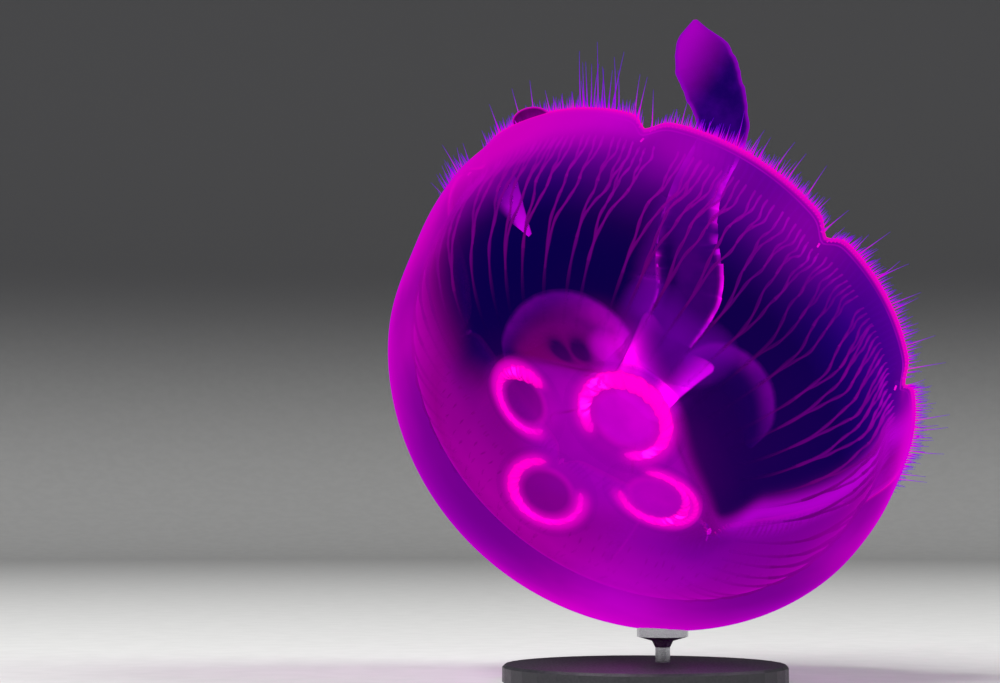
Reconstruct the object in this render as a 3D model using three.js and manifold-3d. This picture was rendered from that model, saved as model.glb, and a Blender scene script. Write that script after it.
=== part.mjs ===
// A moon jellyfish, life size, held still on a plain display stand.
// Millimetres, +Z up, origin at the centre of the underside of the stand's base.
//
// The animal is built upright in its own frame: local z runs from the plane of the bell's
// margin to the top of the bell, azimuth is measured round that axis, and the whole body is
// then turned, tipped over and spun into its swimming pose.

import * as THREE from 'three';
import { mergeVertices } from 'three/addons/utils/BufferGeometryUtils.js';
import Module from 'manifold-3d';

const wasm = await Module();
wasm.setup();

// ---------------------------------------------------------------- driving dimensions

const GAP = 0.3; // clearance between neighbouring solids

// pose of the body
const MARGIN_CENTRE = [15, 20, 157.5]; // centre of the bell's margin
const HEADING = 232.5; // compass direction of the bell's top, from +X towards +Y
const TIP_OVER = 128.8; // angle of the bell's axis away from straight up
const SPIN = 36.1; // turn about the bell's own axis

// bell
const MARGIN_RADIUS = 125;
const BELL_RADIUS = 126.4; // at its widest
const BELL_WIDEST_Z = 26.4;
const BELL_HEIGHT = 132;
const HOLLOW_RADIUS = 116;
const HOLLOW_WIDEST_Z = 20;
const HOLLOW_HEIGHT = 101;
const HOLLOW_POWER = 2.4; // superellipse exponent of the hollow's profile
const MARGIN_THICKNESS = 3.4;
const BELL_SIDES = 50;
const OUTER_RINGS = 12;
const INNER_RINGS = 10;

// the bell is a little oval and sways to one side, more so towards the margin
const OVAL_AMOUNT = 0.019;
const OVAL_AZIMUTH = -24;
const SWAY_AMOUNT = 0.027;
const SWAY_AZIMUTH = 173;

// half of the margin is drawn inwards by the swimming stroke
const DRAW_IN_AMOUNT = 0.115;
const DRAW_IN_AZIMUTH = 280;
const DRAW_IN_HEIGHT = 50; // no drawing in above this

// margin: eight lobes between eight notches
const NOTCH_AZIMUTHS = [-1, 43.5, 82, 125.5, 173, 224, 269, 314];
const LOBE_TOP_Z = 14; // height of the cut between the dome and its lobes
const NOTCH_Z = 3;
const LOBE_DROP = 5.5; // how far a lobe's edge hangs below its notches
const NOTCH_HALF_WIDTH = 1.5;
const LOBE_STATIONS = 8;

// tentacles of the fringe
const TENTACLES_PER_LOBE = 14;
const TENTACLE_LENGTH = 9;
const TENTACLE_LENGTH_RANGE = 5;
const LONG_TENTACLE_LENGTH = 19;
const LONG_TENTACLE_EVERY = 5;
const TENTACLE_ROOT_RADIUS = 0.85;
const TENTACLE_TIP_RADIUS = 0.3;
const TENTACLE_SIDES = 3;
const TENTACLE_OUTWARD = 0.75;
const TENTACLE_ORAL = 0.45;

// sense organs, one hanging in each notch
const SENSE_ORGAN_RADIUS = 1.1;
const SENSE_ORGAN_LENGTH = 7;
const SENSE_ORGAN_SIDES = 5;

// gonads: four horseshoes, open towards the middle
const GONADS = [
  {
    azimuth: 1, reach: 35, height: 82, tilt: 11,
    halfWidth: 16.3, halfLength: 17.2, opening: 37, turn: 8,
  },
  {
    azimuth: 91, reach: 36, height: 88, tilt: 18,
    halfWidth: 19.6, halfLength: 17.2, opening: 25, turn: -5,
  },
  {
    azimuth: 180, reach: 39, height: 85.5, tilt: 15,
    halfWidth: 15.4, halfLength: 16, opening: 46, turn: -33,
  },
  {
    azimuth: 265, reach: 40.5, height: 86, tilt: -6,
    halfWidth: 16.8, halfLength: 18, opening: 38, turn: 0,
  },
];
const GONAD_TUBE_RADIUS = 3.1;
const GONAD_RUFFLE = 0.14;
const GONAD_RUFFLES = 9;
const GONAD_STATIONS = 17;
const GONAD_SIDES = 6;

// stomach: a four-lobed cushion under the gonads, with a stalk to the bell's ceiling
const STOMACH_RADIUS = 53;
const STOMACH_LOBING = 0.12;
const STOMACH_CROWN_Z = 91;
const STOMACH_RIM_Z = 78;
const STOMACH_FLOOR_Z = 66;
const STOMACH_STALK_RADIUS = 12;
const STOMACH_SIDES = 24;

// manubrium: the mouth tube, square with rounded corners, flared at the lips
const MANUBRIUM_TOP_RADIUS = 12;
const LIP_RADIUS = 18;
const LIP_THICKNESS = 3;
const MOUTH_Z = 14;
const MOUTH_DEPTH = 26;
const CORNER_AZIMUTH = 44; // first of the four corners
const CORNER_SWELL = 0.14;
const MANUBRIUM_SIDES = 20;

// oral arms: ribbons along curves, in the bell's own frame, as [x, y, z, width]
const ARM_THICKNESS = 2.8;
const ARM_EDGE_THICKNESS = 0.8;
const ARM_STATIONS = 6; // along each length
const ARMS = [
  {
    name: 'arm_1',
    lengths: ['base', 'middle', 'flap'],
    facing: [0, 0.75, 0.66],
    route: [
      [-5, 17, MOUTH_Z + 1, 24],
      [-11, 30, -5, 31],
      [-26, 30, -30, 29],
      [-37, 40, -50, 24],
      [-43, 60.5, -66, 22.5],
      [-50.5, 69, -70, 25],
      [-61.5, 74.5, -75, 28],
      [-73, 80, -79, 28.5],
      [-82, 85, -82, 20],
      [-88.5, 92, -84, 2],
    ],
  },
  {
    name: 'arm_2',
    lengths: ['base', 'tip'],
    facing: [0, 0.75, 0.66],
    route: [
      [12.5, 8.5, MOUTH_Z + 1, 16],
      [18.5, 20, 12, 20],
      [29, 27, 14, 21],
      [41, 26.5, 18, 21],
      [50.5, 20, 24, 17],
      [56, 10, 30, 3],
    ],
  },
  {
    name: 'arm_3',
    lengths: ['base', 'tip'],
    facing: [0, 0.4, 0.92],
    route: [
      [6, -16, MOUTH_Z + 1, 18],
      [18.5, -43, 10, 22],
      [31, -72, 14, 20],
      [40, -92, 30, 14],
      [45, -100, 48, 3],
    ],
  },
  {
    name: 'arm_4',
    lengths: ['base', 'tip'],
    facing: [0, 0.75, 0.66],
    route: [
      [-14, -12, MOUTH_Z + 1, 17],
      [-29, -7, 16, 22],
      [-46.5, -8, 20, 24],
      [-56.5, -17, 26, 23],
      [-58.5, -29.5, 34, 16],
      [-54.5, -40.5, 40, 3],
    ],
  },
];

// a lappet of the margin folded in at one notch, same form as an arm
const FOLDED_LAPPET = {
  facing: [0.3, 0, 1],
  route: [
    [-120.5, 2, -4.5, 32],
    [-110, 2, -5.5, 27],
    [-97, 1, -1, 14],
    [-85, 0.4, 4, 2.5],
  ],
};

// stand
const BASE_RADIUS = 66;
const BASE_THICKNESS = 8;
const BASE_CHAMFER = 1.2;
const BASE_SIDES = 36;
const ROD_PLACE = [9, 12];
const ROD_RADIUS = 3.5;
const ROD_TOP_Z = 18;
const CRADLE_RADIUS = 12;
const CRADLE_NECK_RADIUS = 5;
const CRADLE_TOP_Z = 27;
const ROD_SIDES = 16;

// ---------------------------------------------------------------- small helpers

const radians = THREE.MathUtils.degToRad;

// the same irregular number in 0..1 for the same index, so that every run is alike
function scatter(index) {
  const value = Math.sin(index * 12.9898 + 4.137) * 43758.5453;
  return value - Math.floor(value);
}

function range(count) {
  return [...Array(count).keys()];
}

function direction(azimuth) {
  return new THREE.Vector3(Math.cos(azimuth), Math.sin(azimuth), 0);
}

// signed volume, positive where the faces point out
function volumeOf(positions, triangles) {
  const corner = (i) => new THREE.Vector3().fromArray(positions, 3 * i);
  let volume = 0;
  for (let t = 0; t < triangles.length; t += 3) {
    const [a, b, c] = [corner(triangles[t]), corner(triangles[t + 1]), corner(triangles[t + 2])];
    volume += a.dot(b.cross(c)) / 6;
  }
  return volume;
}

// a closed skin over a row of rings, each a list of as many points; the two end rings are
// closed with a fan of triangles round their middle
function loft(rings) {
  const sides = rings[0].length;
  const points = rings.flat();
  const triangles = [];
  for (let ring = 0; ring + 1 < rings.length; ring += 1) {
    for (let side = 0; side < sides; side += 1) {
      const a = ring * sides + side;
      const b = ring * sides + ((side + 1) % sides);
      triangles.push(a, b, b + sides, a, b + sides, a + sides);
    }
  }
  for (const [ring, turn] of [[0, 1], [rings.length - 1, -1]]) {
    const middle = new THREE.Vector3();
    rings[ring].forEach((point) => middle.addScaledVector(point, 1 / sides));
    points.push(middle);
    for (let side = 0; side < sides; side += 1) {
      const pair = [ring * sides + side, ring * sides + ((side + 1) % sides)];
      if (turn > 0) pair.reverse();
      triangles.push(points.length - 1, ...pair);
    }
  }
  const positions = points.flatMap((point) => point.toArray());
  if (volumeOf(positions, triangles) < 0) triangles.reverse();
  const geometry = new THREE.BufferGeometry();
  geometry.setAttribute('position', new THREE.Float32BufferAttribute(positions, 3));
  geometry.setIndex(triangles);
  return geometry;
}

function toSolid(geometry) {
  const plain = geometry.clone();
  plain.deleteAttribute('normal');
  plain.deleteAttribute('uv');
  const merged = mergeVertices(plain, 1e-4);
  return new wasm.Manifold(new wasm.Mesh({
    numProp: 3,
    vertProperties: new Float32Array(merged.getAttribute('position').array),
    triVerts: new Uint32Array(merged.getIndex().array),
  }));
}

function toGeometry(solid) {
  const mesh = solid.getMesh();
  const geometry = new THREE.BufferGeometry();
  geometry.setAttribute('position', new THREE.BufferAttribute(mesh.vertProperties, 3));
  geometry.setIndex(new THREE.BufferAttribute(mesh.triVerts, 1));
  return geometry;
}

// ---------------------------------------------------------------- materials

function flesh(colour, roughness = 0.35) {
  return new THREE.MeshStandardMaterial({ color: colour, roughness, metalness: 0 });
}

const BELL_COLOUR = 0x8a14a8;
const MARGIN_COLOUR = 0xe01cc8;
const GONAD_COLOUR = 0xff18c4;
const STOMACH_COLOUR = 0xa012b4;
const ARM_COLOUR = 0x7010a8;
const SENSE_ORGAN_COLOUR = 0xf060d8;
const BASE_COLOUR = 0x2a2c30;
const ROD_COLOUR = 0xb8babd;

function addMesh(group, name, geometry, material) {
  const mesh = new THREE.Mesh(geometry, material);
  mesh.name = name;
  group.add(mesh);
  return mesh;
}

// ---------------------------------------------------------------- bell

// a point of the bell at an azimuth, with the oval, the sway and the stroke worked in
function bellPoint(azimuth, radius, z) {
  const weight = (1 - z / BELL_HEIGHT) ** 2;
  const oval = OVAL_AMOUNT * Math.cos(2 * (azimuth - radians(OVAL_AZIMUTH)));
  const sway = SWAY_AMOUNT * Math.cos(azimuth - radians(SWAY_AZIMUTH));
  const low = Math.max(0, 1 - z / DRAW_IN_HEIGHT) ** 1.5;
  const nearness = Math.cos(azimuth - radians(DRAW_IN_AZIMUTH));
  const drawIn = DRAW_IN_AMOUNT * low * THREE.MathUtils.smoothstep(nearness, -0.1, 0.4);
  const point = direction(azimuth).multiplyScalar(radius * (1 + weight * (oval + sway) - drawIn));
  point.z = z;
  return point;
}

// radius of the bell's outer skin at a height
function outerRadius(z) {
  if (z < BELL_WIDEST_Z) {
    const fall = 1 - z / BELL_WIDEST_Z;
    return BELL_RADIUS - (BELL_RADIUS - MARGIN_RADIUS) * fall * Math.abs(fall);
  }
  const rise = (z - BELL_WIDEST_Z) / (BELL_HEIGHT - BELL_WIDEST_Z);
  return BELL_RADIUS * Math.sqrt(Math.max(0, 1 - rise * rise));
}

// radius of the hollow at a height
function innerRadius(z) {
  const rimRadius = MARGIN_RADIUS - MARGIN_THICKNESS;
  if (z < HOLLOW_WIDEST_Z) {
    const rise = Math.max(0, z) / HOLLOW_WIDEST_Z;
    return rimRadius + (HOLLOW_RADIUS - rimRadius) * rise * (2 - rise);
  }
  const rise = (z - HOLLOW_WIDEST_Z) / (HOLLOW_HEIGHT - HOLLOW_WIDEST_Z);
  return HOLLOW_RADIUS * Math.max(0, 1 - rise ** HOLLOW_POWER) ** (1 / HOLLOW_POWER);
}

// heights from a cut up to just under the top, close together where the skin curves in
function ringHeights(from, top, count) {
  return range(count).map((i) => from + (top - from) * Math.sin((i / count) * (Math.PI / 2)));
}

function bellRing(radius, z) {
  return range(BELL_SIDES).map((i) => bellPoint((i / BELL_SIDES) * 2 * Math.PI, radius, z));
}

const DOME_CUT_Z = LOBE_TOP_Z + GAP / 2;
const OUTER_HEIGHTS = ringHeights(DOME_CUT_Z, BELL_HEIGHT, OUTER_RINGS);
const INNER_HEIGHTS = ringHeights(DOME_CUT_Z, HOLLOW_HEIGHT, INNER_RINGS);

function bellDome() {
  const inner = INNER_HEIGHTS.map((z) => bellRing(innerRadius(z), z));
  const outer = OUTER_HEIGHTS.map((z) => bellRing(outerRadius(z), z));
  const ceiling = bellRing(0.5, HOLLOW_HEIGHT);
  const top = bellRing(0.5, BELL_HEIGHT);
  return loft([ceiling, ...inner.reverse(), ...outer, top]);
}

// the dome without its hollow, swollen by a clearance
function bellBulk(clearance) {
  const rings = OUTER_HEIGHTS.map((z) => bellRing(outerRadius(z) + clearance, z));
  return loft([...rings, bellRing(0.5, BELL_HEIGHT + clearance)]);
}

// ---------------------------------------------------------------- margin

function lobeSpan(lobe) {
  const start = NOTCH_AZIMUTHS[lobe];
  const end = NOTCH_AZIMUTHS[(lobe + 1) % NOTCH_AZIMUTHS.length];
  return [radians(start), radians(end > start ? end : end + 360)];
}

// height of the bell's free edge, part of the way along a lobe
function edgeHeight(along) {
  return NOTCH_Z - LOBE_DROP * Math.sin(Math.PI * along) ** 0.6;
}

// a section through a lobe: down the outside, round the rim and up the inside
function lobeSection(azimuth, along) {
  const top = LOBE_TOP_Z - GAP / 2;
  const edge = edgeHeight(along);
  const middle = (top + edge) / 2;
  const bead = MARGIN_THICKNESS / 2;
  return [
    bellPoint(azimuth, outerRadius(top), top),
    bellPoint(azimuth, outerRadius(middle), middle),
    bellPoint(azimuth, outerRadius(edge), edge + bead),
    bellPoint(azimuth, MARGIN_RADIUS - bead, edge),
    bellPoint(azimuth, innerRadius(edge), edge + bead),
    bellPoint(azimuth, innerRadius(top), top),
  ];
}

function tentacle(azimuth, along, length, lean) {
  const outward = direction(azimuth);
  const root = bellPoint(azimuth, MARGIN_RADIUS - MARGIN_THICKNESS / 2, edgeHeight(along) + 2.4);
  const side = new THREE.Vector3(-outward.y, outward.x, 0);
  const way = outward.clone().multiplyScalar(TENTACLE_OUTWARD).addScaledVector(side, lean);
  way.z = -TENTACLE_ORAL;
  way.normalize();
  const across = side.clone().addScaledVector(way, -side.dot(way)).normalize();
  const up = new THREE.Vector3().crossVectors(way, across);
  const ring = (distance, radius) => range(TENTACLE_SIDES).map((i) => {
    const turn = (i / TENTACLE_SIDES) * 2 * Math.PI;
    return root.clone().addScaledVector(way, distance)
      .addScaledVector(across, radius * Math.cos(turn))
      .addScaledVector(up, radius * Math.sin(turn));
  });
  return loft([ring(0, TENTACLE_ROOT_RADIUS), ring(length, TENTACLE_TIP_RADIUS)]);
}

function marginLobe(lobe) {
  const [start, end] = lobeSpan(lobe);
  const inset = NOTCH_HALF_WIDTH / MARGIN_RADIUS;
  const sections = range(LOBE_STATIONS).map((i) => {
    const along = i / (LOBE_STATIONS - 1);
    return lobeSection(start + inset + (end - start - 2 * inset) * along, along);
  });
  let solid = toSolid(loft(sections));
  for (const i of range(TENTACLES_PER_LOBE)) {
    const seed = lobe * TENTACLES_PER_LOBE + i;
    const along = (i + 0.5 + 0.3 * (scatter(seed) - 0.5)) / TENTACLES_PER_LOBE;
    const isLong = seed % LONG_TENTACLE_EVERY === 0;
    const usual = TENTACLE_LENGTH + TENTACLE_LENGTH_RANGE * (scatter(seed + 500) - 0.5);
    const length = isLong ? LONG_TENTACLE_LENGTH : usual;
    const lean = 0.3 * (scatter(seed + 900) - 0.5);
    const azimuth = start + (end - start) * along;
    solid = solid.add(toSolid(tentacle(azimuth, along, length, lean)));
  }
  return toGeometry(solid);
}

// a small drop that hangs in a notch, under the edge of the dome
function senseOrgan(lobe) {
  const azimuth = radians(NOTCH_AZIMUTHS[lobe]);
  const top = bellPoint(azimuth, MARGIN_RADIUS - MARGIN_THICKNESS, LOBE_TOP_Z - GAP / 2);
  const profile = [[0.55, 0], [0.8, -0.35], [1, -0.75], [0.5, -1]];
  const ring = (width, drop) => range(SENSE_ORGAN_SIDES).map((i) => {
    const around = direction((i / SENSE_ORGAN_SIDES) * 2 * Math.PI);
    const below = new THREE.Vector3(0, 0, drop * SENSE_ORGAN_LENGTH);
    return top.clone().addScaledVector(around, SENSE_ORGAN_RADIUS * width).add(below);
  });
  return loft(profile.map(([width, drop]) => ring(width, drop)));
}

// ---------------------------------------------------------------- organs in the hollow

// a point of a gonad's horseshoe; turn 0 faces the middle of the bell
function gonadPoint(gonad, turn) {
  const outward = direction(radians(gonad.azimuth));
  const side = new THREE.Vector3(-outward.y, outward.x, 0);
  const tilt = radians(gonad.tilt);
  const slope = outward.clone().multiplyScalar(Math.cos(tilt));
  slope.z = -Math.sin(tilt);
  return outward.multiplyScalar(gonad.reach)
    .add(new THREE.Vector3(0, 0, gonad.height))
    .addScaledVector(side, gonad.halfWidth * Math.sin(turn))
    .addScaledVector(slope, -gonad.halfLength * Math.cos(turn));
}

function gonadTube(gonad, clearance = 0) {
  const opening = radians(gonad.opening);
  const middle = gonadPoint(gonad, 0).add(gonadPoint(gonad, Math.PI)).multiplyScalar(0.5);
  return loft(range(GONAD_STATIONS).map((i) => {
    const along = i / (GONAD_STATIONS - 1);
    const turn = radians(gonad.turn) + opening + (2 * Math.PI - 2 * opening) * along;
    const centre = gonadPoint(gonad, turn);
    const away = centre.clone().sub(middle).normalize();
    const ahead = gonadPoint(gonad, turn + 0.01).sub(gonadPoint(gonad, turn - 0.01)).normalize();
    const up = new THREE.Vector3().crossVectors(away, ahead).normalize();
    const outwards = new THREE.Vector3().crossVectors(ahead, up);
    const ruffle = 1 + GONAD_RUFFLE * Math.sin(GONAD_RUFFLES * turn);
    const taper = Math.min(1, 0.55 + 4 * Math.min(along, 1 - along));
    const radius = GONAD_TUBE_RADIUS * ruffle * taper + clearance;
    return range(GONAD_SIDES).map((side) => {
      const angle = (side / GONAD_SIDES) * 2 * Math.PI;
      return centre.clone().addScaledVector(outwards, radius * Math.cos(angle))
        .addScaledVector(up, radius * Math.sin(angle));
    });
  }));
}

function stomachRing(share, z) {
  return range(STOMACH_SIDES).map((i) => {
    const azimuth = (i / STOMACH_SIDES) * 2 * Math.PI;
    const lobing = 1 + STOMACH_LOBING * share * Math.cos(4 * azimuth);
    const point = direction(azimuth).multiplyScalar(STOMACH_RADIUS * share * lobing);
    point.z = z;
    return point;
  });
}

function stomach() {
  const stalkShare = STOMACH_STALK_RADIUS / STOMACH_RADIUS;
  const slope = STOMACH_CROWN_Z - STOMACH_RIM_Z;
  const rings = [
    stomachRing(0.22, STOMACH_FLOOR_Z),
    stomachRing(0.6, STOMACH_FLOOR_Z + 1.5),
    stomachRing(0.88, STOMACH_FLOOR_Z + 5),
    stomachRing(1, STOMACH_RIM_Z - 4),
    stomachRing(0.96, STOMACH_RIM_Z),
    stomachRing(0.7, STOMACH_CROWN_Z - 0.55 * slope),
    stomachRing(0.42, STOMACH_CROWN_Z - 0.12 * slope),
    stomachRing(stalkShare, STOMACH_CROWN_Z + 2),
    stomachRing(stalkShare, HOLLOW_HEIGHT - 1),
  ];
  let solid = toSolid(loft(rings));
  for (const gonad of GONADS) {
    solid = solid.subtract(toSolid(gonadTube(gonad, GAP)));
  }
  return toGeometry(solid);
}

function manubriumRing(radius, z) {
  return range(MANUBRIUM_SIDES).map((i) => {
    const azimuth = (i / MANUBRIUM_SIDES) * 2 * Math.PI;
    const swell = 1 + CORNER_SWELL * Math.cos(4 * (azimuth - radians(CORNER_AZIMUTH)));
    const point = direction(azimuth).multiplyScalar(radius * swell);
    point.z = z;
    return point;
  });
}

function manubriumSkin(clearance) {
  const top = STOMACH_FLOOR_Z - GAP;
  const waist = (top + MOUTH_Z) / 2;
  return [
    manubriumRing(LIP_RADIUS + clearance, MOUTH_Z - clearance),
    manubriumRing(LIP_RADIUS - 2 + clearance, MOUTH_Z + 8),
    manubriumRing(MANUBRIUM_TOP_RADIUS + 1 + clearance, waist),
    manubriumRing(MANUBRIUM_TOP_RADIUS + clearance, top),
  ];
}

function manubrium() {
  const throat = MOUTH_Z + MOUTH_DEPTH;
  return loft([
    manubriumRing(2, throat),
    manubriumRing(LIP_RADIUS * 0.45, throat - 4),
    manubriumRing(LIP_RADIUS - LIP_THICKNESS - 2, MOUTH_Z + 6),
    manubriumRing(LIP_RADIUS - LIP_THICKNESS, MOUTH_Z),
    ...manubriumSkin(0),
  ]);
}

// ---------------------------------------------------------------- oral arms

// sections across a ribbon: lens-shaped, thick along the middle and thin at both edges
function ribbonSection(centre, across, facing, width) {
  const half = width / 2;
  const thick = Math.min(ARM_THICKNESS, 0.5 * width + 0.6) / 2;
  const edge = Math.min(ARM_EDGE_THICKNESS / 2, thick);
  const outline = [
    [-half, -edge], [-half * 0.45, -thick * 0.85], [half * 0.45, -thick * 0.85], [half, -edge],
    [half, edge], [half * 0.45, thick * 0.85], [-half * 0.45, thick * 0.85], [-half, edge],
  ];
  return outline.map(([u, v]) => centre.clone()
    .addScaledVector(across, u)
    .addScaledVector(facing, v));
}

// one length of a ribbon, between two shares of its route
function ribbonLength(ribbon, from, to, stations) {
  const places = ribbon.route.map(([x, y, z]) => new THREE.Vector3(x, y, z));
  const widths = ribbon.route.map((row) => new THREE.Vector3(row[3], 0, 0));
  const curve = new THREE.CatmullRomCurve3(places, false, 'centripetal');
  const widthCurve = new THREE.CatmullRomCurve3(widths, false, 'catmullrom', 0.3);
  const towards = new THREE.Vector3(...ribbon.facing);
  return loft(range(stations).map((i) => {
    const share = from + ((to - from) * i) / (stations - 1);
    const ahead = curve.getTangent(share);
    const across = new THREE.Vector3().crossVectors(ahead, towards).normalize();
    const facing = new THREE.Vector3().crossVectors(across, ahead).normalize();
    const width = widthCurve.getPoint(share).x;
    return ribbonSection(curve.getPoint(share), across, facing, width);
  }));
}

function addArm(group, arm, material) {
  const count = arm.lengths.length;
  const total = new THREE.CatmullRomCurve3(
    arm.route.map(([x, y, z]) => new THREE.Vector3(x, y, z)), false, 'centripetal',
  ).getLength();
  const parting = GAP / total;
  arm.lengths.forEach((length, i) => {
    const from = i / count + (i > 0 ? parting : 0);
    const to = (i + 1) / count - (i + 1 < count ? parting : 0);
    let geometry = ribbonLength(arm, from, to, ARM_STATIONS);
    if (i === 0) {
      const lips = toSolid(loft(manubriumSkin(GAP)));
      geometry = toGeometry(toSolid(geometry).subtract(lips));
    }
    addMesh(group, `${arm.name}_${length}`, geometry, material);
  });
}

// ---------------------------------------------------------------- stand

function disc(profile, sides) {
  const points = profile.map(([radius, z]) => new THREE.Vector2(radius, z));
  return new THREE.LatheGeometry(points, sides).rotateX(Math.PI / 2);
}

function standBase() {
  return disc([
    [0, 0],
    [BASE_RADIUS, 0],
    [BASE_RADIUS, BASE_THICKNESS - BASE_CHAMFER],
    [BASE_RADIUS - BASE_CHAMFER, BASE_THICKNESS],
    [0, BASE_THICKNESS],
  ], BASE_SIDES);
}

// a rod that ends in a shallow cradle, hollowed to the bell that lies in it
function standRod(bellSolid) {
  const shape = disc([
    [0, BASE_THICKNESS],
    [ROD_RADIUS, BASE_THICKNESS],
    [ROD_RADIUS, ROD_TOP_Z - 3],
    [CRADLE_NECK_RADIUS, ROD_TOP_Z],
    [CRADLE_RADIUS, ROD_TOP_Z + 2],
    [CRADLE_RADIUS, CRADLE_TOP_Z],
    [0, CRADLE_TOP_Z],
  ], ROD_SIDES).translate(...ROD_PLACE, 0);
  return toGeometry(toSolid(shape).subtract(bellSolid));
}

// ---------------------------------------------------------------- assembly

const model = new THREE.Group();

const turned = new THREE.Group();
turned.position.set(...MARGIN_CENTRE);
turned.rotation.z = radians(HEADING);
model.add(turned);

const tipped = new THREE.Group();
tipped.rotation.y = radians(TIP_OVER);
turned.add(tipped);

const body = new THREE.Group();
body.rotation.z = radians(SPIN);
tipped.add(body);

addMesh(body, 'bell_dome', bellDome(), flesh(BELL_COLOUR));
for (const lobe of range(NOTCH_AZIMUTHS.length)) {
  addMesh(body, `margin_lobe_${lobe + 1}`, marginLobe(lobe), flesh(MARGIN_COLOUR));
  addMesh(body, `sense_organ_${lobe + 1}`, senseOrgan(lobe), flesh(SENSE_ORGAN_COLOUR));
}
const lappet = ribbonLength(FOLDED_LAPPET, 0, 1, ARM_STATIONS);
addMesh(body, 'folded_lappet', lappet, flesh(MARGIN_COLOUR));

GONADS.forEach((gonad, i) => {
  addMesh(body, `gonad_${i + 1}`, gonadTube(gonad), flesh(GONAD_COLOUR, 0.3));
});
addMesh(body, 'stomach', stomach(), flesh(STOMACH_COLOUR));
addMesh(body, 'manubrium', manubrium(), flesh(STOMACH_COLOUR));
ARMS.forEach((arm) => addArm(body, arm, flesh(ARM_COLOUR)));

model.updateMatrixWorld(true);
const bellSolid = toSolid(bellBulk(GAP).applyMatrix4(body.matrixWorld));
const baseMaterial = new THREE.MeshStandardMaterial({
  color: BASE_COLOUR, roughness: 0.45, metalness: 0,
});
const rodMaterial = new THREE.MeshStandardMaterial({
  color: ROD_COLOUR, roughness: 0.3, metalness: 1,
});
addMesh(model, 'stand_base', standBase(), baseMaterial);
addMesh(model, 'stand_rod', standRod(bellSolid), rodMaterial);

export default model;
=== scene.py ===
"""The looks of a moon jellyfish on a display stand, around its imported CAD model.

The animal is built upright in its own frame, in millimetres, as the CAD model is: local z runs
from the plane of the bell's margin to the top of the bell, and azimuth is measured round it.
One skin runs without a seam over the outside of the bell, round its margin, up the inside,
over the stomach and down the mouth tube. The arms, gonads, canals, sense organs and the
fringe of tentacles are pieces of their own.
"""

import math
from functools import reduce

import bpy
import numpy as np
from mathutils import Matrix


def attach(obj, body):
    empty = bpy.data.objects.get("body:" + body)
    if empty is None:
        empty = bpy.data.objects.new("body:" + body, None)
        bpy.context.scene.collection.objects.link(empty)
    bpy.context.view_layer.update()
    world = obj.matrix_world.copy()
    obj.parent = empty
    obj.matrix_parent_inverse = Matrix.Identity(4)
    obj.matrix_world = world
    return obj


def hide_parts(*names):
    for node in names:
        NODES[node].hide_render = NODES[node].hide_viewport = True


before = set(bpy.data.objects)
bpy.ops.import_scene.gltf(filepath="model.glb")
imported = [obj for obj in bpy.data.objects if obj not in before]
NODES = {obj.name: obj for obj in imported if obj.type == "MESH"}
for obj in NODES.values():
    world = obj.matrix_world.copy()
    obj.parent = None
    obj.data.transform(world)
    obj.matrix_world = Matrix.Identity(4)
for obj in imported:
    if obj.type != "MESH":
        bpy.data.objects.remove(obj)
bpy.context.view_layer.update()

MM = 0.001
TAU = 2 * math.pi

# ---------------------------------------------------------------- the CAD model's dimensions

MARGIN_CENTRE = (15, 20, 157.5)
HEADING = 232.5
TIP_OVER = 128.8
SPIN = 36.1

MARGIN_RADIUS = 125
BELL_RADIUS = 126.4
BELL_WIDEST_Z = 26.4
BELL_HEIGHT = 132
HOLLOW_RADIUS = 116
HOLLOW_WIDEST_Z = 20
HOLLOW_HEIGHT = 101
HOLLOW_POWER = 2.4
MARGIN_THICKNESS = 3.4

OVAL_AMOUNT = 0.019
OVAL_AZIMUTH = -24
SWAY_AMOUNT = 0.027
SWAY_AZIMUTH = 173
DRAW_IN_AMOUNT = 0.115
DRAW_IN_AZIMUTH = 280
DRAW_IN_HEIGHT = 50

NOTCH_AZIMUTHS = (-1, 43.5, 82, 125.5, 173, 224, 269, 314)
LOBE_TOP_Z = 14
NOTCH_Z = 3
LOBE_DROP = 5.5

# azimuth, reach, height, tilt, half width, half length, opening and turn of each horseshoe
GONADS = (
    (1, 35, 82, 11, 16.3, 17.2, 37, 8),
    (91, 36, 88, 18, 19.6, 17.2, 25, -5),
    (180, 39, 85.5, 15, 15.4, 16, 46, -33),
    (265, 40.5, 86, -6, 16.8, 18, 38, 0),
)

STOMACH_LOBING = 0.12
CORNER_AZIMUTH = 44
CORNER_SWELL = 0.06
PILLAR_SWELL = 0.60

# name, facing and route of each ribbon, as x, y, z and width
ARMS = {
    "arm_1": ((0, 0.75, 0.66), (
        (-5, 17, 15, 24), (-11, 30, -5, 31), (-26, 30, -30, 29), (-37, 40, -50, 24),
        (-43, 60.5, -66, 22.5), (-50.5, 69, -70, 25), (-61.5, 74.5, -75, 28),
        (-73, 80, -79, 28.5), (-82, 85, -82, 20), (-88.5, 92, -84, 2),
    )),
    "arm_2": ((0, 0.75, 0.66), (
        (12.5, 8.5, 15, 16), (18.5, 20, 12, 20), (29, 27, 14, 21), (41, 26.5, 18, 21),
        (50.5, 20, 24, 17), (56, 10, 30, 3),
    )),
    "arm_3": ((0, 0.4, 0.92), (
        (6, -16, 15, 18), (18.5, -43, 10, 22), (31, -72, 14, 20), (40, -92, 30, 14),
        (45, -100, 48, 3),
    )),
    "arm_4": ((0, 0.75, 0.66), (
        (-14, -12, 15, 17), (-29, -7, 16, 22), (-46.5, -8, 20, 24), (-56.5, -17, 26, 23),
        (-58.5, -29.5, 34, 16), (-54.5, -40.5, 40, 3),
    )),
}
FOLDED_LAPPET = ((0.3, 0, 1), (
    (-120.5, 2, -4.5, 32), (-110, 2, -5.5, 27), (-97, 1, -1, 14), (-85, 0.4, 4, 2.5),
))

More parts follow.
